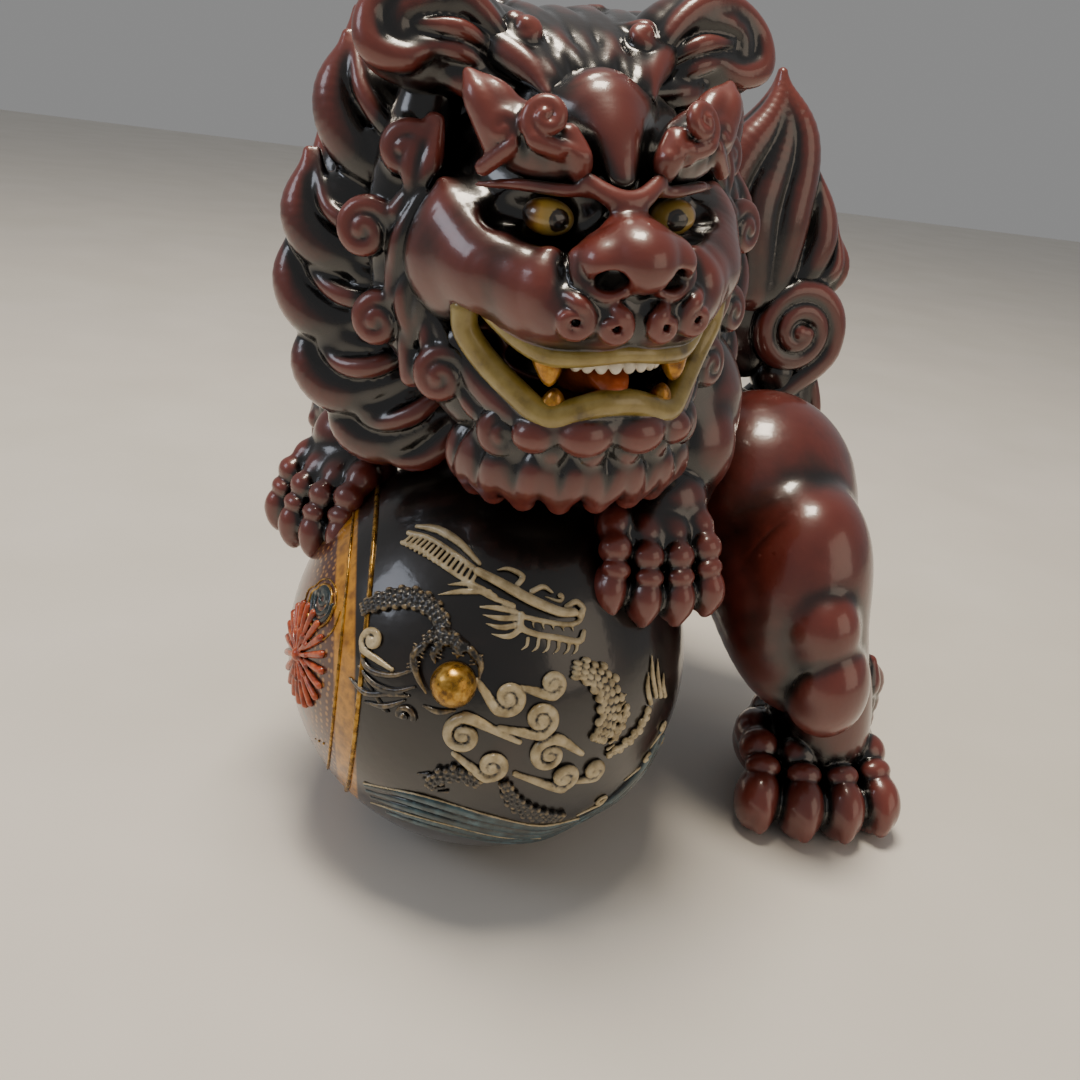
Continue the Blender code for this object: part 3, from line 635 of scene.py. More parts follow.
def shape_upper_teeth():
    clay = Clay(["upper_teeth"], FINE)
    for i in range(8):
        turn = math.radians(-58 + 116 * i / 7)
        x, y = 0.30 * math.sin(turn), -0.90 - 0.22 * math.cos(turn)
        pebble(clay, HEAD, (x, y, -0.60), (0.042, 0.035, 0.055), (0, 0, math.degrees(turn)), 0.4)
    return clay


def shape_fang(name, side, foot, point, thick=0.100):
    clay = Clay([name], FINE)
    bend = [foot[i] + 0.6 * (point[i] - foot[i]) + (0, -0.015, 0)[i] for i in range(3)]
    roll(clay, half(side), (foot, bend, point), (thick, 0.60 * thick, 0.10 * thick))
    return clay


fine_piece("tongue_roll", shape_tongue(), TONGUE_CORAL, ["tongue"])
fine_piece("front_teeth", shape_upper_teeth(), TOOTH_WHITE, ["upper_teeth"])
for side, word in SIDES:
    for rank, foot, point in (("upper", (0.40, -0.94, -0.57), (0.40, -0.98, -0.74)),
                              ("lower", (0.35, -0.90, -0.93), (0.35, -0.95, -0.77))):
        name = f"{rank}_fang_{word}"
        fine_piece(name + "_point", shape_fang(name, side, foot, point), FANG_GOLD, [name])


# A band of ochre enamel is brushed on the rolled lip all round the mouth, thick enough to stand proud.
# It has no casting of its own.

LIP_OCHRE = enamel("ochre_enamel", [(0.26, "#4A3A18"), (0.42, "#84702F"), (0.72, "#A39152")], 7 * MM, 0.32,
                   {"Coat Weight": 0.8})
BAND_THICK = 0.010          # in the head's own units


def shape_lip_band():
    clay = Clay(["head", "lower_jaw"], 0.6 * MM)
    roll(clay, HEAD, both(UPPER_LIP), [thick + BAND_THICK for thick in UPPER_ROLL], 0.5, fine=8)
    roll(clay, HEAD, both(LOWER_LIP[::-1]), (LIP_THICK + BAND_THICK,), 0.5, fine=8)
    return clay


fine_piece("lip_band", shape_lip_band(), LIP_OCHRE, [])


# The eyes are almonds of clay set in their sockets, painted gold with a round black pupil and a
# dark line round the lids.

def shape_eye(side, name):
    clay = Clay([name], FINE)
    pebble(clay, half(side), (0.385, -0.80, 0.19), (0.15, 0.14, 0.105), (0, -10, 20))
    return clay


def eye_enamel(side):
    """Dull gold with an iris of a deeper brown and a black pupil, placed round the eye's own axis."""
    made, tree, shader = finish_of("overglaze_gold_eye", {"IOR": 1.5, "Coat Weight": 1.0,
                                                          "Coat Roughness": 0.05, "Roughness": 0.3})
    where = node(tree, "TexCoord").outputs["Object"]
    middle = half(side) @ Vector((0.375, -0.80, 0.195))
    ahead = (half(side).to_3x3() @ Vector((-0.08, -1, -0.10))).normalized()
    out = node(tree, "VectorMath", {"operation": "SUBTRACT", 1: middle}, {0: where})
    aside = node(tree, "VectorMath", {"operation": "CROSS_PRODUCT", 1: ahead}, {0: out.outputs[0]})
    radius = node(tree, "VectorMath", {"operation": "LENGTH"}, {0: aside.outputs[0]})
    share = node(tree, "Math", {"operation": "DIVIDE", 1: 8 * MM}, {0: radius.outputs["Value"]})
    drift = node(tree, "TexNoise", {"Scale": 1 / (1.5 * MM), "Detail": 4.0}, {"Vector": where})
    worn = node(tree, "Math", {"operation": "MULTIPLY_ADD", 1: 0.12},
                {0: drift.outputs["Fac"], 2: share.outputs[0]})
    colour = ramp(tree, worn.outputs[0], [
        (0.28, "#030202"), (0.31, "#2E2010"), (0.40, "#1A1108"), (0.44, "#9A8444"), (0.70, "#A88430"),
        (0.84, "#6B4310"), (0.95, "#150A05")])
    tree.links.new(colour, shader.inputs["Base Color"])
    return made


for side, word in SIDES:
    name = "eye_" + word
    fine_piece(name + "_almond", shape_eye(side, name), eye_enamel(side), [name])


# Each brow is a small flame: a coiled lobe over the inner eye, a fringe of drops under it, and a
# pointed tuft swept up at the outer end. Each ear is a leaf rolled forward along its rim.

def shape_brow(side, name):
    clay = Clay([name])
    here, out = half(side), (0.45, -1, 0.35)
    pebble(clay, here, (0.49, -0.74, 0.58), (0.33, 0.16, 0.19), (0, -26, 26))
    for share in (0.0, 0.25, 0.5, 0.75, 1.0):
        x, y, z = 0.27 + 0.42 * share, -0.91 + 0.20 * share, 0.46 + 0.10 * share
        roll(clay, here, [(x + 0.05, y + 0.02, z + 0.16), (x, y - 0.01, z + 0.04),
                          (x - 0.02, y + 0.02, z - 0.06)], (0.07, 0.085, 0.05), 1.4)
    if side > 0:
        curl(clay, here, (0.36, -0.93, 0.56), out, (0.52, -0.84, 0.56), 0.085, 0.05, rise=0.04, melt=0.8,
             knob=0.9)
    curl(clay, here, (0.45, -0.91, 0.70), out, (0.26, -0.96, 0.52), 0.125, 0.055, turns=1.35, melt=0.6)
    curl(clay, here, (0.66, -0.78, 0.64), out, (0.74, -0.70, 0.44), 0.10, 0.05, hand=-1, rise=0.03, melt=0.6)
    for groove in (((0.57, -0.90, 0.42), (0.58, -0.88, 0.60)), ((0.36, -1.00, 0.38), (0.36, -1.00, 0.52))):
        roll(clay, here, groove, (0.022,), 1.2, cut=True)
    for shift in (-0.05, 0.05):
        roll(clay, here, [(0.64 + shift, -0.70, 0.68), (0.71 + shift, -0.65, 0.80), (0.80, -0.58, 0.91)],
             (0.11, 0.09, 0.03), 1.2)
    return clay


def shape_ear(side, name):
    clay, here = Clay([name]), half(side)
    # the leaf: a thick plate from root to tip, hollowed in front, with a rolled rim
    roll(clay, here, [(0.46, 0.02, 0.88), (0.66, 0.02, 1.10), (0.92, 0.02, 1.18), (1.14, -0.02, 1.06)],
         (0.22, 0.28, 0.27, 0.16), 3)
    pebble(clay, here, (0.90, -0.02, 0.98), (0.34, 0.22, 0.20), (0, -10, 0), 4)
    roll(clay, here, [(0.62, -0.28, 1.10), (0.82, -0.32, 1.18), (1.02, -0.26, 1.16)], (0.07, 0.11, 0.06), 3,
         cut=True)
    roll(clay, here, [(0.40, -0.20, 0.86), (0.52, -0.20, 1.12), (0.76, -0.16, 1.34), (1.02, -0.10, 1.36),
                      (1.22, -0.08, 1.22), (1.24, -0.14, 1.04), (1.08, -0.20, 0.98), (0.92, -0.22, 1.03)],
         (0.06, 0.075, 0.08, 0.08, 0.09, 0.095, 0.08, 0.05), 1.5)
    for lift in (0.0, 0.12):
        roll(clay, here, [(0.56, -0.22, 0.92 + lift), (0.76, -0.26, 1.02 + lift),
                          (0.98, -0.20, 1.06 + 0.8 * lift)], (0.04, 0.055, 0.03), 1.2)
    roll(clay, here, [(0.44, -0.24, 0.84), (0.66, -0.22, 0.86), (0.88, -0.14, 0.92)], (0.09, 0.10, 0.05), 1.5)
    return clay


for side, word in SIDES:
    shaped("brow_" + word, "flame", shape_brow(side, "brow_" + word))
    shaped("ear_" + word, "leaf", shape_ear(side, "ear_" + word))


# The mane is pressed in locks that are luted on round the head, each combed into strands with a
# wooden tool: the beard, the curls behind the cheeks, the pointed ruff, the crown and the nape.

def lock(clay, frame, points, radii, strands=2, spread=0.6, normal=(0, -1, 0), melt=1):
    """A lock of strands side by side, which part after the root and meet again at the tip."""
    line, wide = smooth_line(in_world(frame, points), np.array(radii) * unit_of(frame), 9)
    normal = np.array((frame.to_3x3() @ Vector(normal)).normalized())
    side = np.cross(np.gradient(line, axis=0), normal)
    side /= np.linalg.norm(side, axis=1)[:, None] + 1e-9
    share = np.linspace(0, 1, len(line))
    part = (0.45 + 0.55 * np.sin(math.pi * share) ** 0.6) * (1 - share ** 4)
    for i in range(strands):
        place = 2 * i / (strands - 1) - 1
        shift = place * spread * wide * part
        lift = -0.35 * wide * place ** 2
        thick = wide * (1.05 - 0.18 * strands + 0.10 * (1 - abs(place)))
        clay.tube(line + side * shift[:, None] + normal * lift[:, None], thick, melt * MM)


def shape_beard():
    clay = Clay(["beard"])
    pebble(clay, HEAD, (0, -0.24, -1.22), (0.66, 0.52, 0.22))
    for i in range(9):
        turn = math.radians(-84 + 21 * i)
        x, y = math.sin(turn), -math.cos(turn)
        lock(clay, HEAD, [(0.50 * x, -0.34 + 0.50 * y, -1.08), (0.72 * x, -0.34 + 0.62 * y, -1.22),
                          (0.78 * x, -0.32 + 0.66 * y, -1.38), (0.70 * x, -0.30 + 0.60 * y, -1.54)],
             (0.14, 0.17, 0.17, 0.12), 2, 0.55, (x, y, 0))
    for i in range(8):
        turn = math.radians(-72 + 144 * i / 7)
        x, y = math.sin(turn), -math.cos(turn)
        roll(clay, HEAD, [(0.52 * x, -0.36 + 0.52 * y, -1.02), (0.64 * x, -0.36 + 0.62 * y, -1.12),
                          (0.66 * x, -0.35 + 0.64 * y, -1.24)], (0.09, 0.12, 0.06), 1.2)
    return clay


CHEEK_CURLS = (((1.04, -0.14, 0.48), (1.10, -0.16, 0.14), 0.150),
               ((1.28, -0.06, 0.02), (1.12, -0.16, -0.36), 0.165),
               ((1.22, -0.10, -0.52), (1.04, -0.22, -0.84), 0.150),
               ((0.90, -0.44, -0.80), (0.62, -0.62, -1.00), 0.150),
               ((0.58, -0.74, -1.10), (0.26, -0.84, -1.18), 0.130))
CHEEK_STRANDS = (((0.90, -0.22, 0.66), (1.00, -0.26, 0.42), (1.03, -0.24, 0.20)),
                 ((0.98, -0.30, 0.24), (1.08, -0.28, -0.04), (1.14, -0.20, -0.26)),
                 ((1.00, -0.32, -0.10), (1.06, -0.30, -0.38), (1.05, -0.26, -0.62)),
                 ((0.96, -0.36, -0.44), (0.92, -0.42, -0.64), (0.82, -0.52, -0.80)),
                 ((0.82, -0.48, -0.76), (0.70, -0.62, -0.94), (0.54, -0.76, -1.02)))


def shape_cheek_curls(side, name):
    clay, here = Clay([name]), half(side)
    roll(clay, here, [(0.84, 0.10, 0.78), (1.00, 0.10, 0.34), (1.04, 0.08, -0.20), (0.94, -0.02, -0.64),
                      (0.64, -0.30, -1.00)], (0.20,), 4)
    for (x, y, z), root, reach in CHEEK_CURLS:
        curl(clay, here, (x, y, z), (0.55, -1, 0.05), root, 1.1 * reach, 0.068, turns=1.45, hand=-1, melt=0.8,
             start_thick=1.2)
        roll(clay, here, [(x * 0.97, y + 0.10, z), (x * 0.98, y + 0.12, z + 0.02)], (0.16,), 3)
    # strands run down beside the cheek and out into the curls
    for strand in CHEEK_STRANDS:
        lock(clay, here, strand, (0.06, 0.10, 0.06), normal=(0.6, -1, 0))
    return clay


RUFF = (((0.80, 0.30, 0.46), (1.06, 0.30, 0.52), (1.27, 0.38, 0.78), (1.27, 0.48, 1.10)),
        ((0.94, 0.34, 0.00), (1.28, 0.36, -0.02), (1.50, 0.46, 0.10), (1.52, 0.58, 0.42)),
        ((0.98, 0.36, -0.40), (1.36, 0.40, -0.46), (1.57, 0.54, -0.34), (1.62, 0.66, -0.04)),
        ((0.94, 0.30, -0.76), (1.28, 0.32, -0.90), (1.50, 0.44, -0.88), (1.57, 0.58, -0.64)),
        ((0.76, 0.20, -1.02), (1.04, 0.22, -1.22), (1.28, 0.34, -1.28), (1.44, 0.48, -1.12)))


def shape_ruff(side, name):
    clay, here = Clay([name]), half(side)
    pebble(clay, here, (0.82, 0.56, -0.12), (0.36, 0.34, 0.98), melt=6)
    for points in RUFF:
        lock(clay, here, points, (0.24, 0.28, 0.23, 0.05), 2, 0.62, (0.35, -1, 0.15), 1.5)
        ridge = [(x * 0.96, y - 0.17 * (1 - (i / 3) ** 2), z + 0.02) for i, (x, y, z) in enumerate(points)]
        roll(clay, here, ridge, (0.05, 0.075, 0.06, 0.02), 1.5, fine=12)
        back = [(x * 0.90, y + 0.36, z + 0.16) for x, y, z in points]
        lock(clay, here, back, (0.22, 0.27, 0.22, 0.05), 3, 0.75, (1, -0.1, 0.15), 1.5)
        # a smaller lock lies in the gap under each large one
        small = [(x * 0.93, y - 0.12, z - 0.22) for x, y, z in points[:3]]
        lock(clay, here, small, (0.15, 0.15, 0.04), normal=(0.35, -1, 0), melt=1.2)
    return clay


def shape_crown():
    clay = Clay(["crown_mane"])
    pebble(clay, HEAD, (0, 0.34, 0.88), (0.56, 0.64, 0.24), melt=6)
    for i in range(6):
        x = -0.45 + 0.18 * i
        sway = 0.04 * (-1) ** i
        lock(clay, HEAD, [(0.70 * x, -0.54, 0.84), (0.82 * x + sway, -0.36, 1.00),
                          (1.0 * x - sway, -0.06, 1.17), (1.2 * x, 0.30, 1.27),
                          (1.2 * x + sway, 0.62, 1.25), (1.1 * x, 0.92, 1.02),
                          (1.0 * x - sway, 1.10, 0.72)], (0.04, 0.13, 0.18, 0.18, 0.15, 0.13, 0.05), 2,
             0.55, (0, -0.3, 1))
    for side, _ in SIDES:
        curl(clay, half(side), (0.36, -0.22, 1.14), (0.3, -0.8, 0.8), (0.20, 0.02, 1.12), 0.10, 0.065,
             hand=-1, knob=0.9)
        curl(clay, half(side), (0.34, 0.44, 1.28), (0.2, -0.3, 1), (0.10, 0.60, 1.24), 0.13, 0.065, turns=1.2,
             rise=0.03, knob=0.9)
    return clay


NAPE_ROWS = ((0.86, 0.98, 0.52, 3), (0.46, 1.26, 0.74, 4), (0.02, 1.40, 0.82, 5), (-0.42, 1.40, 0.80, 4),
             (-0.84, 1.26, 0.62, 3))    # height, how far back, half width and number of curls


def shape_nape():
    """Rows of curls down the back of the head and neck, with strands between them."""
    clay = Clay(["nape_mane"])
    pebble(clay, HEAD, (0, 0.88, 0.06), (0.84, 0.46, 0.98))
    roll(clay, HEAD, [(0, 0.80, 0.70), (0, 1.10, 0.20), (0, 1.14, -0.40), (0, 1.00, -0.90)],
         (0.40, 0.36, 0.34, 0.26), 6)
    for row, (z, back, width, count) in enumerate(NAPE_ROWS):
        for i in range(count):
            place = 2 * i / (count - 1) - 1
            x, y = width * place, back + 0.09 - 0.34 * place ** 2
            out = (0.8 * place, 1, 0.15)
            hand = 1 if place > 0 or (place == 0 and row % 2) else -1
            curl(clay, HEAD, (x, y, z), out, (0.7 * x, y - 0.06, z + 0.36), 0.185, 0.085, turns=1.4,
                 hand=hand, rise=0.07, knob=0.6)
            pebble(clay, HEAD, (x, y - 0.10, z), (0.20, 0.16, 0.20))
            lock(clay, HEAD, [(x + 0.20, y - 0.08, z + 0.12), (x + 0.24, y - 0.02, z - 0.14),
                              (x + 0.12, y - 0.02, z - 0.38)], (0.08, 0.13, 0.05), 2, 0.7, out)
    return clay


shaped("beard", "locks", shape_beard())
for side, word in SIDES:
    shaped("cheek_curls_" + word, "locks", shape_cheek_curls(side, "cheek_curls_" + word))
    shaped("ruff_" + word, "locks", shape_ruff(side, "ruff_" + word))
shaped("crown_mane", "locks", shape_crown(), part="crown")
shaped("nape_mane", "locks", shape_nape(), part="nape")


# The forelegs are solid rolls from the shoulders, luted to the ball at the paws. A paw has four
# toes, each with two knuckles one above the other, and an oval claw set on its end.

USUAL_BALL = 0.070          # the radius of the ball that these paws and the tail go with
FORE_UNIT = 0.0215 * BALL_RADIUS / USUAL_BALL   # half the width of a forepaw
HIND_UNIT = 0.031 * BALL_RADIUS / USUAL_BALL


def shape_paw(clay, centre, heading, size, tilt=0.0):
    """heading is where the toes point, in degrees from -Y; size is half the paw's width."""
    frame = Matrix.Translation(centre) @ turned(z=heading) @ turned(x=tilt) @ Matrix.Scale(size, 4)
    pebble(clay, frame, (0, 0.34, 0.06), (0.82, 0.80, 0.56))
    for i in range(4):
        across = -0.75 + 0.50 * i
        front = -0.52 - 0.20 * math.cos(math.pi * (i - 1.5) / 3.4)
        # toe, lower knuckle, upper knuckle, the bone behind it, and the claw
        for spread, ahead, up, radii, pitch, melt in ((1.00, -0.04, -0.10, (0.29, 0.40, 0.42), 8, 0.05),
                                                      (0.96, 0.08, 0.28, (0.22, 0.17, 0.16), -30, 0.02),
                                                      (0.94, 0.36, 0.36, (0.25, 0.22, 0.25), -20, 0.02),
                                                      (0.86, 0.76, 0.36, (0.26, 0.32, 0.27), 0, 0.10),
                                                      (1.03, -0.34, -0.12, (0.13, 0.13, 0.27), -6, 0.02)):
            pebble(clay, frame, (spread * across, front + ahead, up), radii, (pitch, 0, 9 * (i - 1.5)),
                   melt * size / MM)
    return frame


RIGHT_FOREPAW = on_ball(-98, 40, 0.30 * FORE_UNIT)
LEFT_FOREPAW = on_ball(66, 45, 0.30 * FORE_UNIT)


def shape_foreleg(name, side, shoulder, elbow, paw, heading, tilt):
    clay = Clay([name])
    shoulder, elbow, wrist = CHEST + Vector(shoulder), paw + Vector(elbow), paw + Vector((0, 0.008, 0.006))
    pebble(clay, WORLD, shoulder, (0.027, 0.028, 0.031), melt=6)
    roll(clay, WORLD, [shoulder, elbow, wrist], (0.026, 0.019, 0.013), 4)
    # muscles of the upper arm and the forearm, set off by a groove
    for place, shift, radii in (
            (shoulder.lerp(elbow, 0.45), (0.007 * side, -0.010, 0), (0.017, 0.015, 0.020)),
            (elbow, (0.004 * side, 0.010, -0.002), (0.014, 0.015, 0.013)),
            (elbow.lerp(wrist, 0.55), (0.003 * side, -0.006, 0.002), (0.013, 0.012, 0.013))):
        pebble(clay, WORLD, place + Vector(shift), radii, melt=1.5)
    shape_paw(clay, paw, heading, FORE_UNIT, tilt)
    for i in range(3):
        root = wrist + Vector((0.010 * side, 0.012, 0.007 + 0.011 * i))
        tip = [root + Vector((x * side, y, z)) for x, y, z in ((0.005, 0.007, 0.001), (0.006, 0.011, 0.011))]
        lock(clay, WORLD, [root] + tip, (0.006, 0.006, 0.001), 2, 0.7, (side, 0, 0))
    return clay


shaped("foreleg_right", "roll", shape_foreleg("foreleg_right", -1, (-0.040, -0.002, 0.012),
                                              (0.010, 0.026, 0.024), RIGHT_FOREPAW, -38, 38))
shaped("foreleg_left", "roll", shape_foreleg("foreleg_left", 1, (0.042, -0.014, 0.004), (0.002, 0.026, 0.018),
                                             LEFT_FOREPAW, 18, 36))


# The hind legs spring from big round thighs, and behind each shin stands a row of flame tufts. They
# are pressed in two halves and luted to the rump; the paws are trimmed flat underneath.

UP = Vector((0, 0, 1))
BACKWARDS = (RUMP - CHEST).xy.to_3d().normalized()
TO_LEFT = Vector((BACKWARDS.y, -BACKWARDS.x, 0))


class HindLeg:
    """Where the joints of one hind leg are, from the rump."""

    def __init__(self, side, heading):
        self.heading = heading
        self.paw = RUMP + 0.082 * side * TO_LEFT - 0.005 * BACKWARDS
        self.paw.z = 0.50 * HIND_UNIT
        self.hip = RUMP + 0.036 * side * TO_LEFT - 0.010 * BACKWARDS + Vector((0, 0, 0.004))
        self.toes = turned(z=heading).to_3x3() @ Vector((0, -1, 0))
        self.out = side * TO_LEFT
        self.knee = self.hip.lerp(self.paw, 0.38) + 0.030 * self.toes
        self.hock = self.hip.lerp(self.paw, 0.60) - 0.012 * self.toes + 0.020 * self.out


def shape_hind_leg(name, leg):
    clay = Clay([name])
    ankle = leg.paw + 0.012 * UP - 0.014 * leg.toes + 0.010 * leg.out
    pebble(clay, WORLD, leg.hip, (0.036, 0.038, 0.042), melt=8)
    roll(clay, WORLD, [leg.hip, leg.knee, leg.hock, ankle], (0.034, 0.025, 0.020, 0.019), 12, fine=10)
    thigh, shin = leg.hip.lerp(leg.knee, 0.45), leg.hock.lerp(leg.paw, 0.45)
    # the thigh's two muscles, the knee and what lies under and over it, the hock and the shin
    for place, radii, melt in (
            (thigh + 0.016 * leg.toes + 0.006 * leg.out, (0.024, 0.024, 0.036), 9),
            (thigh + 0.020 * leg.out - 0.002 * leg.toes, (0.018, 0.024, 0.034), 6),
            (leg.knee + 0.009 * leg.toes - 0.002 * UP - 0.012 * leg.out, (0.014, 0.016, 0.018), 2),
            (leg.knee - 0.008 * UP + 0.012 * leg.out + 0.008 * leg.toes, (0.015, 0.017, 0.020), 2),
            (leg.knee + 0.017 * leg.toes + 0.012 * UP + 0.001 * leg.out, (0.013, 0.012, 0.016), 3),
            (leg.hock + 0.008 * leg.toes, (0.018, 0.019, 0.022), 2),
            (shin - 0.002 * leg.toes + 0.010 * leg.out, (0.016, 0.017, 0.028), 6)):
        pebble(clay, WORLD, place, radii, melt=melt)
    frame = shape_paw(clay, leg.paw, leg.heading, HIND_UNIT)
    pebble(clay, frame, (0, 0.62, 0.42), (0.58, 0.42, 0.36), melt=2)
    # the sole is cut off level with the floor, over the whole of the grid
    clay.depth = np.maximum(clay.depth, -clay.axes(clay.window(FIELD_HIGH[None], 1))[2])
    return clay


def shape_tufts(name, leg):
    """A column of pointed tufts, each combed in three strands, from the heel to the hock."""
    clay = Clay([name, name.replace("leg_tufts", "hind_leg")])
    heel, top = leg.paw - 0.034 * leg.toes, leg.hock - 0.022 * leg.toes
    roll(clay, WORLD, [heel + 0.020 * leg.out, heel.lerp(top, 0.5) + 0.022 * leg.out, top + 0.020 * leg.out],
         (0.012, 0.013, 0.010), 3)
    for i in range(5):
        root = heel.lerp(top, 0.06 + 0.22 * i) + 0.027 * leg.out + 0.006 * leg.toes
        lock(clay, WORLD, [root, root - 0.006 * leg.toes + Vector((0, 0, 0.001)) + 0.008 * leg.out,
                           root - 0.010 * leg.toes + Vector((0, 0, 0.010)) + 0.011 * leg.out],
             (0.011, 0.010, 0.003), 3, 0.8, leg.out + leg.toes)
    return clay


for side, word, heading in ((1, "left", 8), (-1, "right", -110)):
    leg = HindLeg(side, heading)
    shaped("hind_leg_" + word, "pressing", shape_hind_leg("hind_leg_" + word, leg))
    shaped("leg_tufts_" + word, "locks", shape_tufts("leg_tufts_" + word, leg))


# The tail is pressed in two halves with the seam at its edges: a root that rises from the rump, a
# great coiled lock, and over it a tall flame that leans in to the body.

TAIL_UNIT = 0.138 * BALL_RADIUS / USUAL_BALL    # the tail's height
TAIL_FOOT = within("tail_root", 0.365, 0.425, 0.2445)
TAIL = Matrix.Translation(TAIL_FOOT) @ turned(z=14) @ Matrix.Scale(TAIL_UNIT, 4)
TAIL_FRONT = (0.1, -1, 0.0)


def shape_tail_root():
    clay = Clay(["tail_root"])
    roll(clay, TAIL, [(-0.14, -0.02, -0.10), (0.04, 0.00, -0.02), (0.07, 0.00, 0.12), (0.02, 0.00, 0.24)],
         (0.10, 0.09, 0.075, 0.075), 3)
    for shift in (-0.055, 0.0, 0.055):
        lock(clay, TAIL, [(0.03 + shift, -0.03, -0.06), (0.08 + shift, -0.05, 0.10),
                          (0.05 + shift, -0.04, 0.30)], (0.035, 0.042, 0.03), 2, 0.7, TAIL_FRONT)
    return clay


def shape_tail_coil():
    clay = Clay(["tail_coil"])
    pebble(clay, TAIL, (-0.08, 0.01, 0.42), (0.15, 0.075, 0.21), melt=4)
    for face, hand in ((-1, 1), (1, -1)):
        curl(clay, TAIL, (0.03, 0.050 * face, 0.38), (0.05, face, 0), (-0.04, 0.03 * face, 0.12), 0.140,
             0.042, turns=2.1, hand=hand, rise=0.035, knob=0.7)
        for k in range(3):
            reach = 0.20 + 0.045 * k
            arc = [(-0.02 + reach * math.cos(a) * 0.92, 0.03 * face, 0.42 + 1.15 * reach * math.sin(a))
                   for a in [math.radians(t) for t in (205, 180, 155, 130, 105)]]
            roll(clay, TAIL, arc, (0.022, 0.034, 0.036, 0.034, 0.02), 1.2)
        lock(clay, TAIL, [(0.04, 0.02 * face, 0.50), (0.13, 0.02 * face, 0.56), (0.12, 0.01 * face, 0.68)],
             (0.05, 0.05, 0.008), 3, 0.8, (0, face, 0))
    return clay


def shape_tail_flame():
    clay = Clay(["tail_flame"])
    for face in (-1, 1):
        for points, radii, strands in (
                (((-0.12, 0.02, 0.48), (-0.15, 0.02, 0.70), (-0.11, 0.01, 0.90), (-0.13, 0.0, 1.06)),
                 (0.13, 0.135, 0.10, 0.018), 3),
                (((-0.02, 0.02, 0.50), (0.01, 0.02, 0.62), (0.02, 0.01, 0.72), (0.00, 0.0, 0.86)),
                 (0.08, 0.08, 0.06, 0.015), 2),
                (((-0.17, 0.02, 0.50), (-0.22, 0.02, 0.60), (-0.22, 0.01, 0.70), (-0.22, 0.0, 0.82)),
                 (0.07, 0.065, 0.045, 0.012), 2)):
            lock(clay, TAIL, [(x, y * face, z) for x, y, z in points], radii, strands, 0.8, (0, face, 0))
    return clay


shaped("tail_root", "roll", shape_tail_root())
shaped("tail_coil", "lock", shape_tail_coil())
shaped("tail_flame", "locks", shape_tail_flame())


# The glaze goes over all the lion at once: it runs off the swells and pools in the hollows and where pieces
# meet. So its depth is read from the whole lion's field, at three widths. The widest width adds painted
# shade: it darkens the undersides, deep hollows and joins between pieces.

# the widest width, 9 mm, is painted shade as well as pooled glaze
POOLS_AND_SHADE = (("ridge", 1.1 * MM), ("mass", 3.2 * MM), ("wide_pool_and_shade", 9 * MM))


def blurred(field, half):
    """Two box blurs along each axis, half grid steps to each side, close to a round brush."""
    for axis in range(3):
        for _ in range(2):
            total = np.cumsum(field, axis=axis, dtype=np.float64)
            total = np.moveaxis(total, axis, 0)
            size = total.shape[0]
            top = np.minimum(np.arange(size) + half, size - 1)
            low = np.arange(size) - half - 1
            lower = np.where((low >= 0).reshape(-1, 1, 1), total[np.maximum(low, 0)], 0)
            field = np.moveaxis(((total[top] - lower) / (2 * half + 1)).astype(np.float32), 0, axis)
    return field


def points_of(piece):
    points = np.empty(len(piece.data.vertices) * 3, np.float32)
    piece.data.vertices.foreach_get("co", points)
    return points.reshape(-1, 3)


def store(piece, name, value):
    """Keeps a value for each point of a piece, under a name that its glaze reads."""
    piece.data.attributes.new(name, "FLOAT", "POINT").data.foreach_set("value", value.astype(np.float32))


def mark(piece, name, field, low, grain):
    """Stores on the piece's skin what a field holds there, between its grid lines."""
    place = (points_of(piece) - low) / grain
    base = np.clip(np.floor(place).astype(int), 0, np.array(field.shape) - 2)
    share = place - base
    value = 0
    for corner in np.ndindex(2, 2, 2):
        weight = np.prod(np.where(corner, share, 1 - share), axis=1)
        i, j, k = (base + corner).T
        value = value + weight * field[i, j, k]
    store(piece, name, value)


# Where the glaze was wiped thin, or left thick: on the pieces whose names start like this, and round
# places on the head, as a centre, a reach and an amount.
WIPED = {"head": -0.06, "lower_jaw": 0.20, "beard": 0.16, "crown": 0.10, "nape": -0.04, "trunk": 0.16,
         "hind_leg": 0.26, "foreleg": 0.20, "brow": 0.16, "leg_tufts": 0.16, "cheek_curls": 0.06, "ear": 0.04,
         "tail": 0.14}
RUBBED = [((0, -1.10, 0.02), 0.48, 0.42), ((0, -0.62, 0.66), 0.46, 0.40), ((0, -1.10, -0.40), 0.50, 0.36)]
for side, _ in SIDES:
    RUBBED += [((0.72 * side, -0.45, -0.14), 0.62, 0.46), ((0.46 * side, -0.95, -0.28), 0.45, 0.36),
               ((0.44 * side, -0.84, 0.20), 0.24, -0.75), ((0.50 * side, -0.44, 0.66), 0.30, -0.30)]


def wipe(piece):
    """Adds up how thin the glaze was rubbed at each point of a piece."""
    points = points_of(piece)
    wiped = [amount for start, amount in WIPED.items() if piece.name.startswith(start + "_")]
    value = np.full(len(points), sum(wiped), np.float32)
    if piece.name.startswith("head"):
        for centre, reach, rubbed in RUBBED:
            far = np.linalg.norm(points - np.array(HEAD @ Vector(centre)), axis=1) / (reach * HEAD_UNIT)
            near = np.clip(1 - far, 0, 1)
            value += rubbed * np.minimum(1, 1.6 * near * near * (3 - 2 * near))
    store(piece, "paint", value)


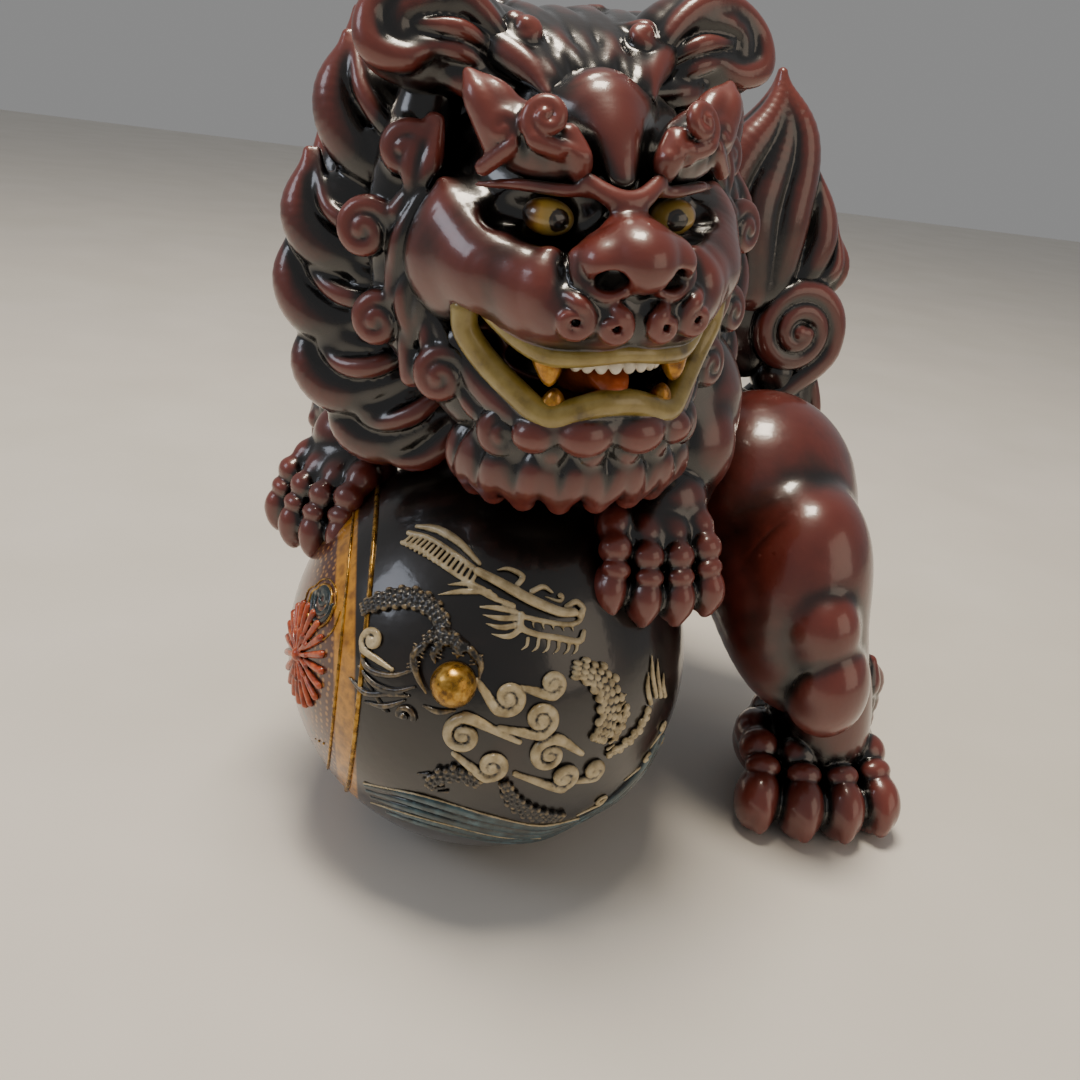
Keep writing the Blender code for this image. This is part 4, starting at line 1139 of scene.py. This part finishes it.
def pool_glaze_and_paint_shade():
    size = np.ceil((FIELD_HIGH - FIELD_LOW) / GRAIN).astype(int) + 1
    whole = np.full(size, SKIN, np.float32)
    for _, clay in LIONS:
        low = np.maximum(clay.first, 0)
        high = np.minimum(clay.first + clay.count, size)
        there = tuple(slice(a, b) for a, b in zip(low, high))
        here = tuple(slice(a - f, b - f) for a, b, f in zip(low, high, clay.first))
        whole[there] = np.minimum(whole[there], clay.depth[here])
    whole = np.clip(whole, -SKIN, SKIN)
    for name, width in POOLS_AND_SHADE:
        field = blurred(whole, max(1, round(width / GRAIN))) / SKIN
        for piece, _ in LIONS:
            mark(piece, name, field, FIELD_LOW, GRAIN)
    for piece, _ in LIONS:
        wipe(piece)


pool_glaze_and_paint_shade()


# The ball's relief is thick slip, piped and cut on the leather-hard ball: a dragon that reaches for a
# pearl among clouds over waves. It is brushed with cream slip, wiped back so the grooves stay dark.

PROUD = 1.2 * MM            # how far over and under its skin the relief's depth counts


def piped(clay, path, thick, melt=0.4, lift=0.25):
    """A line of slip along turns and tilts on the ball, lift half widths over it. thick is half its
    width; this and the other sizes of slip are in millimetres."""
    thick = np.atleast_1d(thick) * MM
    points = [on_ball(turn, tilt, float(lift * thick.max())) for turn, tilt in path]
    roll(clay, WORLD, points, thick, melt, fine=4)


def strokes(clay, rows, melt=0.4):
    """Rows of lines. A row is a thickness and a lift, and then the paths that share them."""
    for thick, lift, *paths in rows:
        for path in paths:
            piped(clay, path, thick, melt, lift)


def cloud(clay, centre, root, reach, thick, hand=1, turns=1.1):
    """A cloud's scroll, flat on the ball."""
    middle = on_ball(*centre, 0.2 * thick * MM)
    out = middle - BALL_CENTRE
    curl(clay, WORLD, tuple(middle), tuple(out), tuple(on_ball(*root, 0.1 * thick * MM)), reach * MM,
         thick * MM, turns=turns, hand=hand, rise=0.6 * MM, melt=0.25, start_thick=0.55, knob=1.0)


def plates(clay, path, columns, spacing, size, swell):
    """Overlapping scales in rows along a path on the ball."""
    spacing, size = spacing * MM, size * MM
    line, _ = smooth_line([on_ball(*place) for place in path], (1.0,), 12)
    along = np.concatenate([[0], np.cumsum(np.linalg.norm(np.diff(line, axis=0), axis=1))])
    rows = int(along[-1] / spacing)
    for row in range(rows):
        place, ahead = [np.array([np.interp((row + step) * spacing, along, line[:, k]) for k in range(3)])
                        for step in (0.5, 1.0)]
        ahead = Vector(ahead - place)
        out = Vector(place) - BALL_CENTRE
        out.normalize()
        side = out.cross(ahead).normalized()
        width = size * (1 - 0.35 * abs(2 * row / max(1, rows - 1) - 1) ** 2)
        for column in range(columns):
            shift = (column - (columns - 1) / 2 + 0.5 * (row % 2) - 0.25) * 1.75 * width
            spot = Vector(place) + side * shift
            spot = BALL_CENTRE + (BALL_RADIUS + 0.5 * MM * swell) * (spot - BALL_CENTRE).normalized()
            frame = Matrix((side, ahead.normalized(), side.cross(ahead.normalized())))
            frame = Matrix.Translation(spot) @ frame.transposed().to_4x4()
            pebble(clay, frame, (0, 0, 0), (width, 0.62 * spacing, 0.9 * MM * swell), (-14, 0, 0), 0.15)


def relief(name, clay, material, nodes):
    """A piece of relief, marked with how proud each spot of it stands: wiping leaves slip there."""
    piece = fine_piece(name, clay, material, nodes)
    lines = clay.axes(clay.window(np.array([FIELD_LOW, FIELD_HIGH]), 0))
    x, y, z = [axis - c for axis, c in zip(lines, BALL_CENTRE)]
    ball = np.sqrt(x * x + y * y + z * z) - BALL_RADIUS
    whole = np.clip(np.minimum(clay.depth, ball), -PROUD, PROUD).astype(np.float32)
    mark(piece, "ridge", blurred(whole, 2) / PROUD, clay.low, clay.grain)


CREAM = enamel("cream_slip_wiped_back", [(0.30, "#8E7C57"), (0.52, "#B9A883"), (0.75, "#CDBF9E")],
               4 * MM, 0.38, {"Coat Weight": 0.5}, wear=0.28)
DARK_CREAM = enamel("cream_slip_mostly_wiped_off", [(0.35, "#4A3A26"), (0.60, "#8A7650")],
                    3 * MM, 0.32, {"Coat Weight": 0.8}, wear=0.02)


def shape_dragon_head():
    clay = Clay(["dragon_head"], FINE)
    # the neck: a ladder of belly plates between two rails
    for i in range(15):
        turn, tilt = -35.5 + 31 * i / 14, 49.8 - 4.2 * (i / 14) ** 1.6
        piped(clay, [(turn - 0.6, tilt - 1.5), (turn + 0.9, tilt + 1.6)], 0.62, 0.1, 0.9)
    strokes(clay, (
        (0.7, 0.5, [(-37, 48.5), (-28, 48.6), (-19, 46.9), (-9, 44.3), (-1, 42.6)]),
        (0.9, 0.5, [(-37, 51.5), (-28, 52.3), (-19, 51.2), (-9, 48.6), (-1, 45.4)]),
        ((0.7, 1.5, 1.3, 0.8), 0.25, [(-36, 54), (-26, 55.2), (-14, 53.4), (-4, 48.8)]),
        # skull and snout, with the nose turned up at its end
        ((1.2, 1.5, 1.6, 1.5, 1.3), 0.9, [(-4, 46.6), (4, 44.4), (14, 40.6), (23, 37.4), (28, 36.8)]),
        (0.95, 1.0, [(26, 38.4), (29.5, 39.4), (31.5, 37.4), (29.6, 36.2)])))
    cloud(clay, (24.5, 41.2), (19.5, 41.4), 1.5, 0.6, turns=0.9)
    strokes(clay, (
        (0.8, 0.8, [(12, 36.4), (19, 35.2), (25, 34.2), (29, 34.4), (31, 36)]),
        # the jaw, dropped open
        ((0.9, 1.0, 0.9, 1.0, 1.0, 0.7), 0.8,
         [(11.5, 37), (11.6, 33.8), (16, 32.2), (22, 31.2), (28.5, 29.8), (30.5, 32)])))
    # its beard, and the teeth above
    for turn in (13.5, 16.5, 19.5, 22.5, 25.5, 28.0):
        tilt = 31.3 - 0.12 * (turn - 13.5)
        piped(clay, [(turn, tilt), (turn - 0.4, tilt - 1.8), (turn - 2.0, tilt - 2.9)], (0.6, 0.5, 0.2),
              lift=0.5)
    for turn in (15, 18, 21, 24, 27):
        tilt = 0.10 * (turn - 15)
        piped(clay, [(turn, 34.7 - tilt), (turn + 0.3, 33.6 - tilt)], (0.45, 0.2), lift=0.8)
    strokes(clay, (
        # horn, ear and mane blown back
        ((0.9, 0.9, 0.7, 0.3), 0.9, [(10, 44.0), (12, 46.4), (7, 48.2), (3, 47.6)]),
        ((0.9, 0.8, 0.4), 0.9, [(15, 42.6), (19, 43.8), (22, 42.2)]),
        ((0.85, 0.9, 0.2), 0.4, ((9, 39), (3, 40.4), (-4, 42.0)), ((10, 37.4), (4, 38.2), (-2, 38.0)),
         ((10, 36), (5, 35.8), (0, 36.2)), ((11, 34.6), (6, 33.6), (1, 34.2)),
         ((11.6, 33.6), (8, 31.6), (3, 31.8)), ((3, 41), (-6, 43), (-13, 42)),
         ((1, 42), (-8, 41), (-15, 39)))))
    return clay


def shape_claw():
    clay = Clay(["dragon_claw"], FINE)
    # the scaled foreleg comes from the upper left, and the paw closes over the pearl
    piped(clay, [(-37, 30), (-31, 34), (-23, 36.5), (-15, 35), (-10, 30)], (1.8, 2.4, 2.6, 2.6, 2.4), 1.5,
          -0.3)
    plates(clay, [(-37, 29), (-31, 33.5), (-23, 36.5), (-15, 35.5), (-9, 31)], 4, 1.9, 0.95, 1.6)
    piped(clay, [(-13, 29), (-9, 29.5), (-4, 28)], (2.2, 2.8, 2.2), 1.5, 0.1)
    plates(clay, [(-15, 28), (-9, 29.5), (-3, 28)], 3, 1.7, 0.9, 2.6)
    strokes(clay, (((1.3, 1.35, 0.9, 0.35), 1.1, ((-14, 27), (-16.5, 23.5), (-14.5, 19), (-11.5, 15.5)),
                    ((-10, 27.5), (-11.5, 25), (-10.5, 23.0)), ((-6, 28), (-5, 26.8), (-5.2, 25.2)),
                    ((-2, 27.5), (1.0, 24.6), (1.2, 21))),))
    for turn, tilt, lean in ((-15.5, 25, 0.5), (-16, 21, -0.6), (-10.8, 25.5, 0.2), (-5, 27, 0.1),
                             (-0.2, 25.4, -0.4)):
        for k in (-1, 0, 1):
            piped(clay, [(turn - 1.6, tilt + 0.9 * k + lean), (turn + 1.6, tilt + 0.9 * k - lean)], 0.32,
                  0.1, 6.2)
    # currents that stream away from the claw
    strokes(clay, (((0.4, 1.1, 1.0, 0.5), 0.3, ((-33, 20), (-29, 16.6), (-22, 17), (-16, 20)),
                    ((-32, 16), (-26, 13.4), (-20, 13.6), (-15, 16)),
                    ((-34, 12), (-28, 10.4), (-22, 12.2), (-16, 13.4)), ((-28, 8), (-22, 9), (-17, 12)),
                    ((-12, 12), (-8, 11.4), (-4, 12.4))),))
    return clay


def shape_clouds(place, rows):
    """Scrolls that stand in the room of one CAD node. A row is a centre, a root, a reach, a thickness,
    which way the scroll winds, and its turns."""
    clay = Clay([place], FINE)
    for row in rows:
        cloud(clay, *row)
    return clay


LEFT_CLOUD = (((-30, 23.4), (-22, 18.4), 4.0, 1.35, -1, 1.35),)
DARK_CLOUDS = (((-16.5, 8.2), (-29, 13.5), 4.3, 1.2, 1, 1.35), ((-11.5, 0.6), (-22, 5), 3.8, 1.0))
CREAM_LINE = 1.8125         # half the width of a cream scroll's line
CLOUDS = [(centre, root, 1.18 * reach, CREAM_LINE, 1, 1.5) for centre, root, reach in (
    ((9.0, 17.0), (0.6, 20.5), 4.1), ((20.2, 20.2), (12, 19.4), 2.9), ((17.4, 11.6), (7.5, 9.2), 4.3),
    ((-1.2, 6.4), (12.5, 5.6), 5.0), ((6.4, -1.2), (-3, 1), 3.9), ((20.4, 1.6), (29.5, 0.4), 4.9),
    ((25.4, -5.8), (12.5, -3.8), 3.7), ((34, -5.8), (29.5, -8.6), 2.6))]


def shape_dragon_body():
    clay = Clay(["dragon_body"], FINE)
    back = [(26, 23.5), (32, 21.5), (36.5, 16), (36.5, 9.5), (33.5, 3)]
    piped(clay, back, (1.6, 2.6, 3.0, 2.8, 1.4), 1.5, -0.45)
    plates(clay, back, 4, 2.5, 1.3, 1.7)
    for i in range(8):
        turn, tilt = 40.5 - 0.45 * i, 13 - 1.9 * i
        piped(clay, [(turn, tilt), (turn + 2.2, tilt + 0.8)], (0.6, 0.3), lift=0.8)
    plates(clay, [(43, 11), (41, 6), (38, 1)], 2, 2.0, 0.9, 1.2)
    plates(clay, [(52, 7), (48, 2), (42, -1), (37, -2)], 2, 2.2, 1.0, 1.2)
    for turn, low, high in ((51.5, 8, 17), (54, 9, 21), (56.5, 8, 19), (59, 7, 14)):
        piped(clay, [(turn + 1, low), (turn - 0.4, (low + high) / 2), (turn + 0.6, high)], (0.9, 0.9, 0.2),
              lift=0.5)
    return clay


def shape_dragon_tail():
    clay = Clay(["dragon_tail"], FINE)
    for path in ([(-9, -10.5), (-5.5, -6), (-0.5, -4.5), (4.5, -8)],
                 [(10, -6), (12, -11), (16, -16), (23, -20.5), (31, -23)]):
        piped(clay, path, (0.9, 2.2, 2.2, 1.0), 1.5, -0.4)
        plates(clay, path, 3, 2.0, 1.05, 1.5)
    for i in range(5):
        piped(clay, [(-9 + 1.3 * i, -6.6 - 1.2 * i), (-12 + 1.3 * i, -7.6 - 1.2 * i)], (0.6, 0.25), lift=0.5)
    return clay


relief("dragon_head_slip", shape_dragon_head(), CREAM, ["dragon_head"])
relief("dragon_claw_slip", shape_claw(), DARK_CREAM, ["dragon_claw"])
relief("cloud_scroll_left_slip", shape_clouds("dragon_claw", LEFT_CLOUD), CREAM, [])
relief("cloud_scrolls_dark_slip", shape_clouds("dragon_claw", DARK_CLOUDS), DARK_CREAM, [])
relief("cloud_scrolls_slip", shape_clouds("cloud_scrolls", CLOUDS), CREAM, ["cloud_scrolls"])
relief("dragon_body_slip", shape_dragon_body(), CREAM, ["dragon_body"])
relief("dragon_tail_slip", shape_dragon_tail(), DARK_CREAM, ["dragon_tail"])


# The pearl is a boss of clay gilded over the glaze, the waves are combed slip under grey-blue enamel,
# and their crests are lined with cream.

PEARL_SIZE = (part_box("pearl")[1].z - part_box("pearl")[0].z) / 2
GILT = enamel("worn_overglaze_gold", [(0.32, "#5B3E12"), (0.52, "#A87C2A"), (0.72, "#D0A85A")], 2.5 * MM,
              0.26, {"Metallic": 0.75, "Coat Weight": 0.3})
SEA_BLUE = enamel("grey_blue_enamel", [(0.30, "#12201F"), (0.52, "#2C4348"), (0.72, "#4C6A72")], 6 * MM, 0.30,
                  {"Coat Weight": 0.8}, wear=0.30)


def shape_pearl():
    clay = Clay(["pearl"], FINE)
    pebble(clay, WORLD, on_ball(-5, 19, 0.3 * PEARL_SIZE), (PEARL_SIZE,) * 3)
    return clay


WAVES = (((-29, -20), (-15, -16.4), (-5, -17), (9, -21.5), (24, -28), (38, -30)),
         ((-29, -22.5), (-15, -19.4), (-4, -20.2), (10, -25), (25, -31.5), (40, -33)),
         ((-28, -25), (-15, -22.6), (-3, -23.6), (11, -28.6), (26, -34.5), (42, -35)),
         ((-26, -27.6), (-14, -25.8), (-2, -27), (12, -32), (28, -37), (46, -36)),
         ((-24, -30.6), (-13, -29), (0, -30.4), (14, -35), (30, -39.5), (50, -37)),
         ((38, -30), (48, -25), (56, -18), (60, -11), (63, -5)), ((42, -33), (52, -28), (60, -20), (65, -12)),
         ((46, -36), (57, -30), (66, -22), (72, -13)), ((50, -38), (63, -33), (74, -24), (82, -14)),
         ((64, -34), (78, -29), (90, -21)))
CRESTS = (((42, -21.5), (36, -26), 3.2), ((60, -26), (52, -30), 3.4), ((57.5, -12.5), (50, -17), 3.0),
          ((62, -4), (58, -9), 2.6), ((76, -18), (68, -23), 3.2))


def shape_waves():
    clay = Clay(["wave_band"], FINE)
    strokes(clay, (((0.8, 1.7, 1.9, 1.6, 0.8), -0.1, *WAVES),), melt=0.3)
    return clay


def shape_crests():
    clay = Clay(["wave_band"], FINE)
    strokes(clay, ((0.45, 0.6, [(-29, -19), (-15, -15.4), (-5, -15.8), (9, -20.2), (24, -26.8), (38, -28.8)]),
                   (0.35, 3.0, [(-28, -26.4), (-14, -24.4), (-2, -25.4), (12, -30.4), (27, -35.9)])))
    for centre, root, reach in CRESTS:
        cloud(clay, centre, root, reach, 0.75)
    return clay


relief("pearl_boss", shape_pearl(), GILT, ["pearl"])
relief("waves_slip", shape_waves(), SEA_BLUE, ["wave_band"])
relief("wave_crests_slip", shape_crests(), CREAM, [])


# The panel on the ball's right side is framed by a raised rim and filled with a chrysanthemum in
# coral enamel, its petals piped one by one, and a dark drop outlined in gold over it.

CORAL = enamel("coral_enamel", [(0.30, "#6E2410"), (0.52, "#B4491F"), (0.72, "#CF6A38")], 3 * MM, 0.35, {},
               wear=0.34)
INK_BLUE = enamel("ink_blue_enamel", [(0.35, "#0B1517"), (0.65, "#1D3237")], 6 * MM, 0.25, {})
FLOWER = (-58, 7)
DROP = (-55, 25.5)


def around(centre, reach, angle):
    """The turn and tilt at reach degrees from a centre, at an angle from level."""
    level = math.cos(math.radians(centre[1]))
    return centre[0] + reach * math.cos(angle) / level, centre[1] + reach * math.sin(angle)


def shape_rim():
    clay = Clay(["medallion_rim"], FINE)
    for reach, thick in ((PANEL_REACH, 0.85 * MM), (0.84 * PANEL_REACH, 0.55 * MM)):
        reach = math.radians(reach)
        ring = []
        for i in range(73):
            x, z = [math.sin(reach) * wave(math.tau * i / 72) for wave in (math.cos, math.sin)]
            out = turned(z=PANEL_TURN) @ turned(x=-3) @ Vector((x, -math.cos(reach), z))
            ring.append(BALL_CENTRE + (BALL_RADIUS + 0.2 * thick) * out)
        roll(clay, WORLD, ring, (thick,), 0.3, fine=1)
    return clay


def shape_flower():
    clay = Clay(["chrysanthemum"], FINE)
    for count, start, reaches, thick, lift in ((20, 0.5, (4.6, 9, 13.4), (0.7, 1.15, 1.3), 0.25),
                                               (14, 0, (2.4, 6.4), (0.6, 0.95), 1.0)):
        for i in range(count):
            angle = math.tau * (i + start) / count
            piped(clay, [around(FLOWER, reach, angle) for reach in reaches], thick, 0.15, lift)
    pebble(clay, WORLD, on_ball(*FLOWER, 0.4 * MM), (2.4 * MM,) * 3, melt=0.3)
    return clay


def shape_drop(sizes, thick, melt, lift):
    """A line round the drop at each of those sizes, or a filling if the lines are close."""
    clay = Clay(["chrysanthemum"], FINE)
    drop = [around(DROP, 4.6 * (1 - 0.32 * math.sin(a)) * (1.35 if math.sin(a) < 0 else 1), a)
            for a in [math.tau * i / 24 for i in range(25)]]
    for size, width, height in zip(sizes, thick, lift):
        ring = [(DROP[0] + (turn - DROP[0]) * size, DROP[1] + (tilt - DROP[1]) * size) for turn, tilt in drop]
        piped(clay, ring, width, melt, height)
    return clay


def shape_outline():
    """The drop's two gold lines, and the row of gold dots round the flower."""
    clay = shape_drop((1, 1.45), (0.5, 0.35), 0.4, (0.4, 0.3))
    for i in range(64):
        angle = math.tau * i / 64
        spot = around((-60, 10), 29 + 1.5 * math.sin(7 * angle), angle)
        if spot[0] < -44:
            pebble(clay, WORLD, on_ball(*spot, 0.0), (0.55 * MM,) * 3, melt=0.1)
    return clay


relief("panel_rim_slip", shape_rim(), GILT, ["medallion_rim"])
relief("chrysanthemum_slip", shape_flower(), CORAL, ["chrysanthemum"])
relief("panel_drop_enamel", shape_drop((0.25, 0.55, 0.8), (0.9,) * 3, 0.8, (-0.3,) * 3), INK_BLUE,
       [])
relief("panel_drop_outline", shape_outline(), GILT, [])


# The lion stands on a plain pale floor under a broad soft lamp, with two weaker ones at the sides.
# The camera looks down at it from just above its head.

CAMERA_PLACE = Vector((0.014, -0.328, 0.252))
CAMERA_PITCH = 23.5         # degrees down from level
CAMERA_ROLL = 7.0
CAMERA_LENS = 34.667        # for a sensor 36 wide, in millimetres
FLOOR_SIDE = 6.0


def stage_floor():
    mesh = bpy.data.meshes.new("floor")
    bm = bmesh.new()
    bmesh.ops.create_grid(bm, x_segments=1, y_segments=1, size=FLOOR_SIDE / 2)
    bm.to_mesh(mesh)
    bm.free()
    made, tree, shader = finish_of("pale_floor_paint", {"Roughness": 0.55})
    grit = node(tree, "TexNoise", {"Scale": 60.0, "Detail": 4.0})
    tree.links.new(ramp(tree, grit.outputs["Fac"], [(0.3, "#D9D5CD"), (0.7, "#E0DCD5")]),
                   shader.inputs["Base Color"])
    mesh.materials.append(made)
    floor = bpy.data.objects.new("floor", mesh)
    bpy.context.scene.collection.objects.link(floor)


def lamp(name, place, aim, side, power, colour):
    data = bpy.data.lights.new(name, "AREA")
    data.shape = "SQUARE"
    data.size = side
    data.energy = power
    data.color = linear(colour)[:3]
    made = bpy.data.objects.new(name, data)
    made.location = place
    made.rotation_euler = (Vector(aim) - Vector(place)).to_track_quat("-Z", "Y").to_euler()
    bpy.context.scene.collection.objects.link(made)


def camera():
    pitch, tilt = math.radians(CAMERA_PITCH), math.radians(CAMERA_ROLL)
    ahead = Vector((0, math.cos(pitch), -math.sin(pitch)))
    down = Vector((0, -math.sin(pitch), -math.cos(pitch)))
    across = Vector((1, 0, 0))
    right = math.cos(tilt) * across - math.sin(tilt) * down
    up = -(math.cos(tilt) * down + math.sin(tilt) * across)
    data = bpy.data.cameras.new("camera")
    data.sensor_width = 36
    data.lens = CAMERA_LENS
    made = bpy.data.objects.new("camera", data)
    made.matrix_world = (Matrix((right, up, -ahead)).transposed().to_4x4())
    made.location = CAMERA_PLACE
    bpy.context.scene.collection.objects.link(made)
    bpy.context.scene.camera = made


stage_floor()
camera()
MIDDLE = (0.02, 0.03, 0.14)
lamp("ceiling_lamp", (-0.10, 0.05, 1.5), MIDDLE, 0.45, 24, "#FFF1DC")
lamp("window_light", (-1.5, -0.5, 1.1), MIDDLE, 0.7, 6, "#EAF1FF")
lamp("bounce", (1.4, -0.9, 0.7), MIDDLE, 1.2, 5, "#FFE9CF")
world = bpy.data.worlds.new("studio")
world.use_nodes = True
world.node_tree.nodes["Background"].inputs["Color"].default_value = linear("#C9C9C9")
world.node_tree.nodes["Background"].inputs["Strength"].default_value = 0.45
bpy.context.scene.world = world
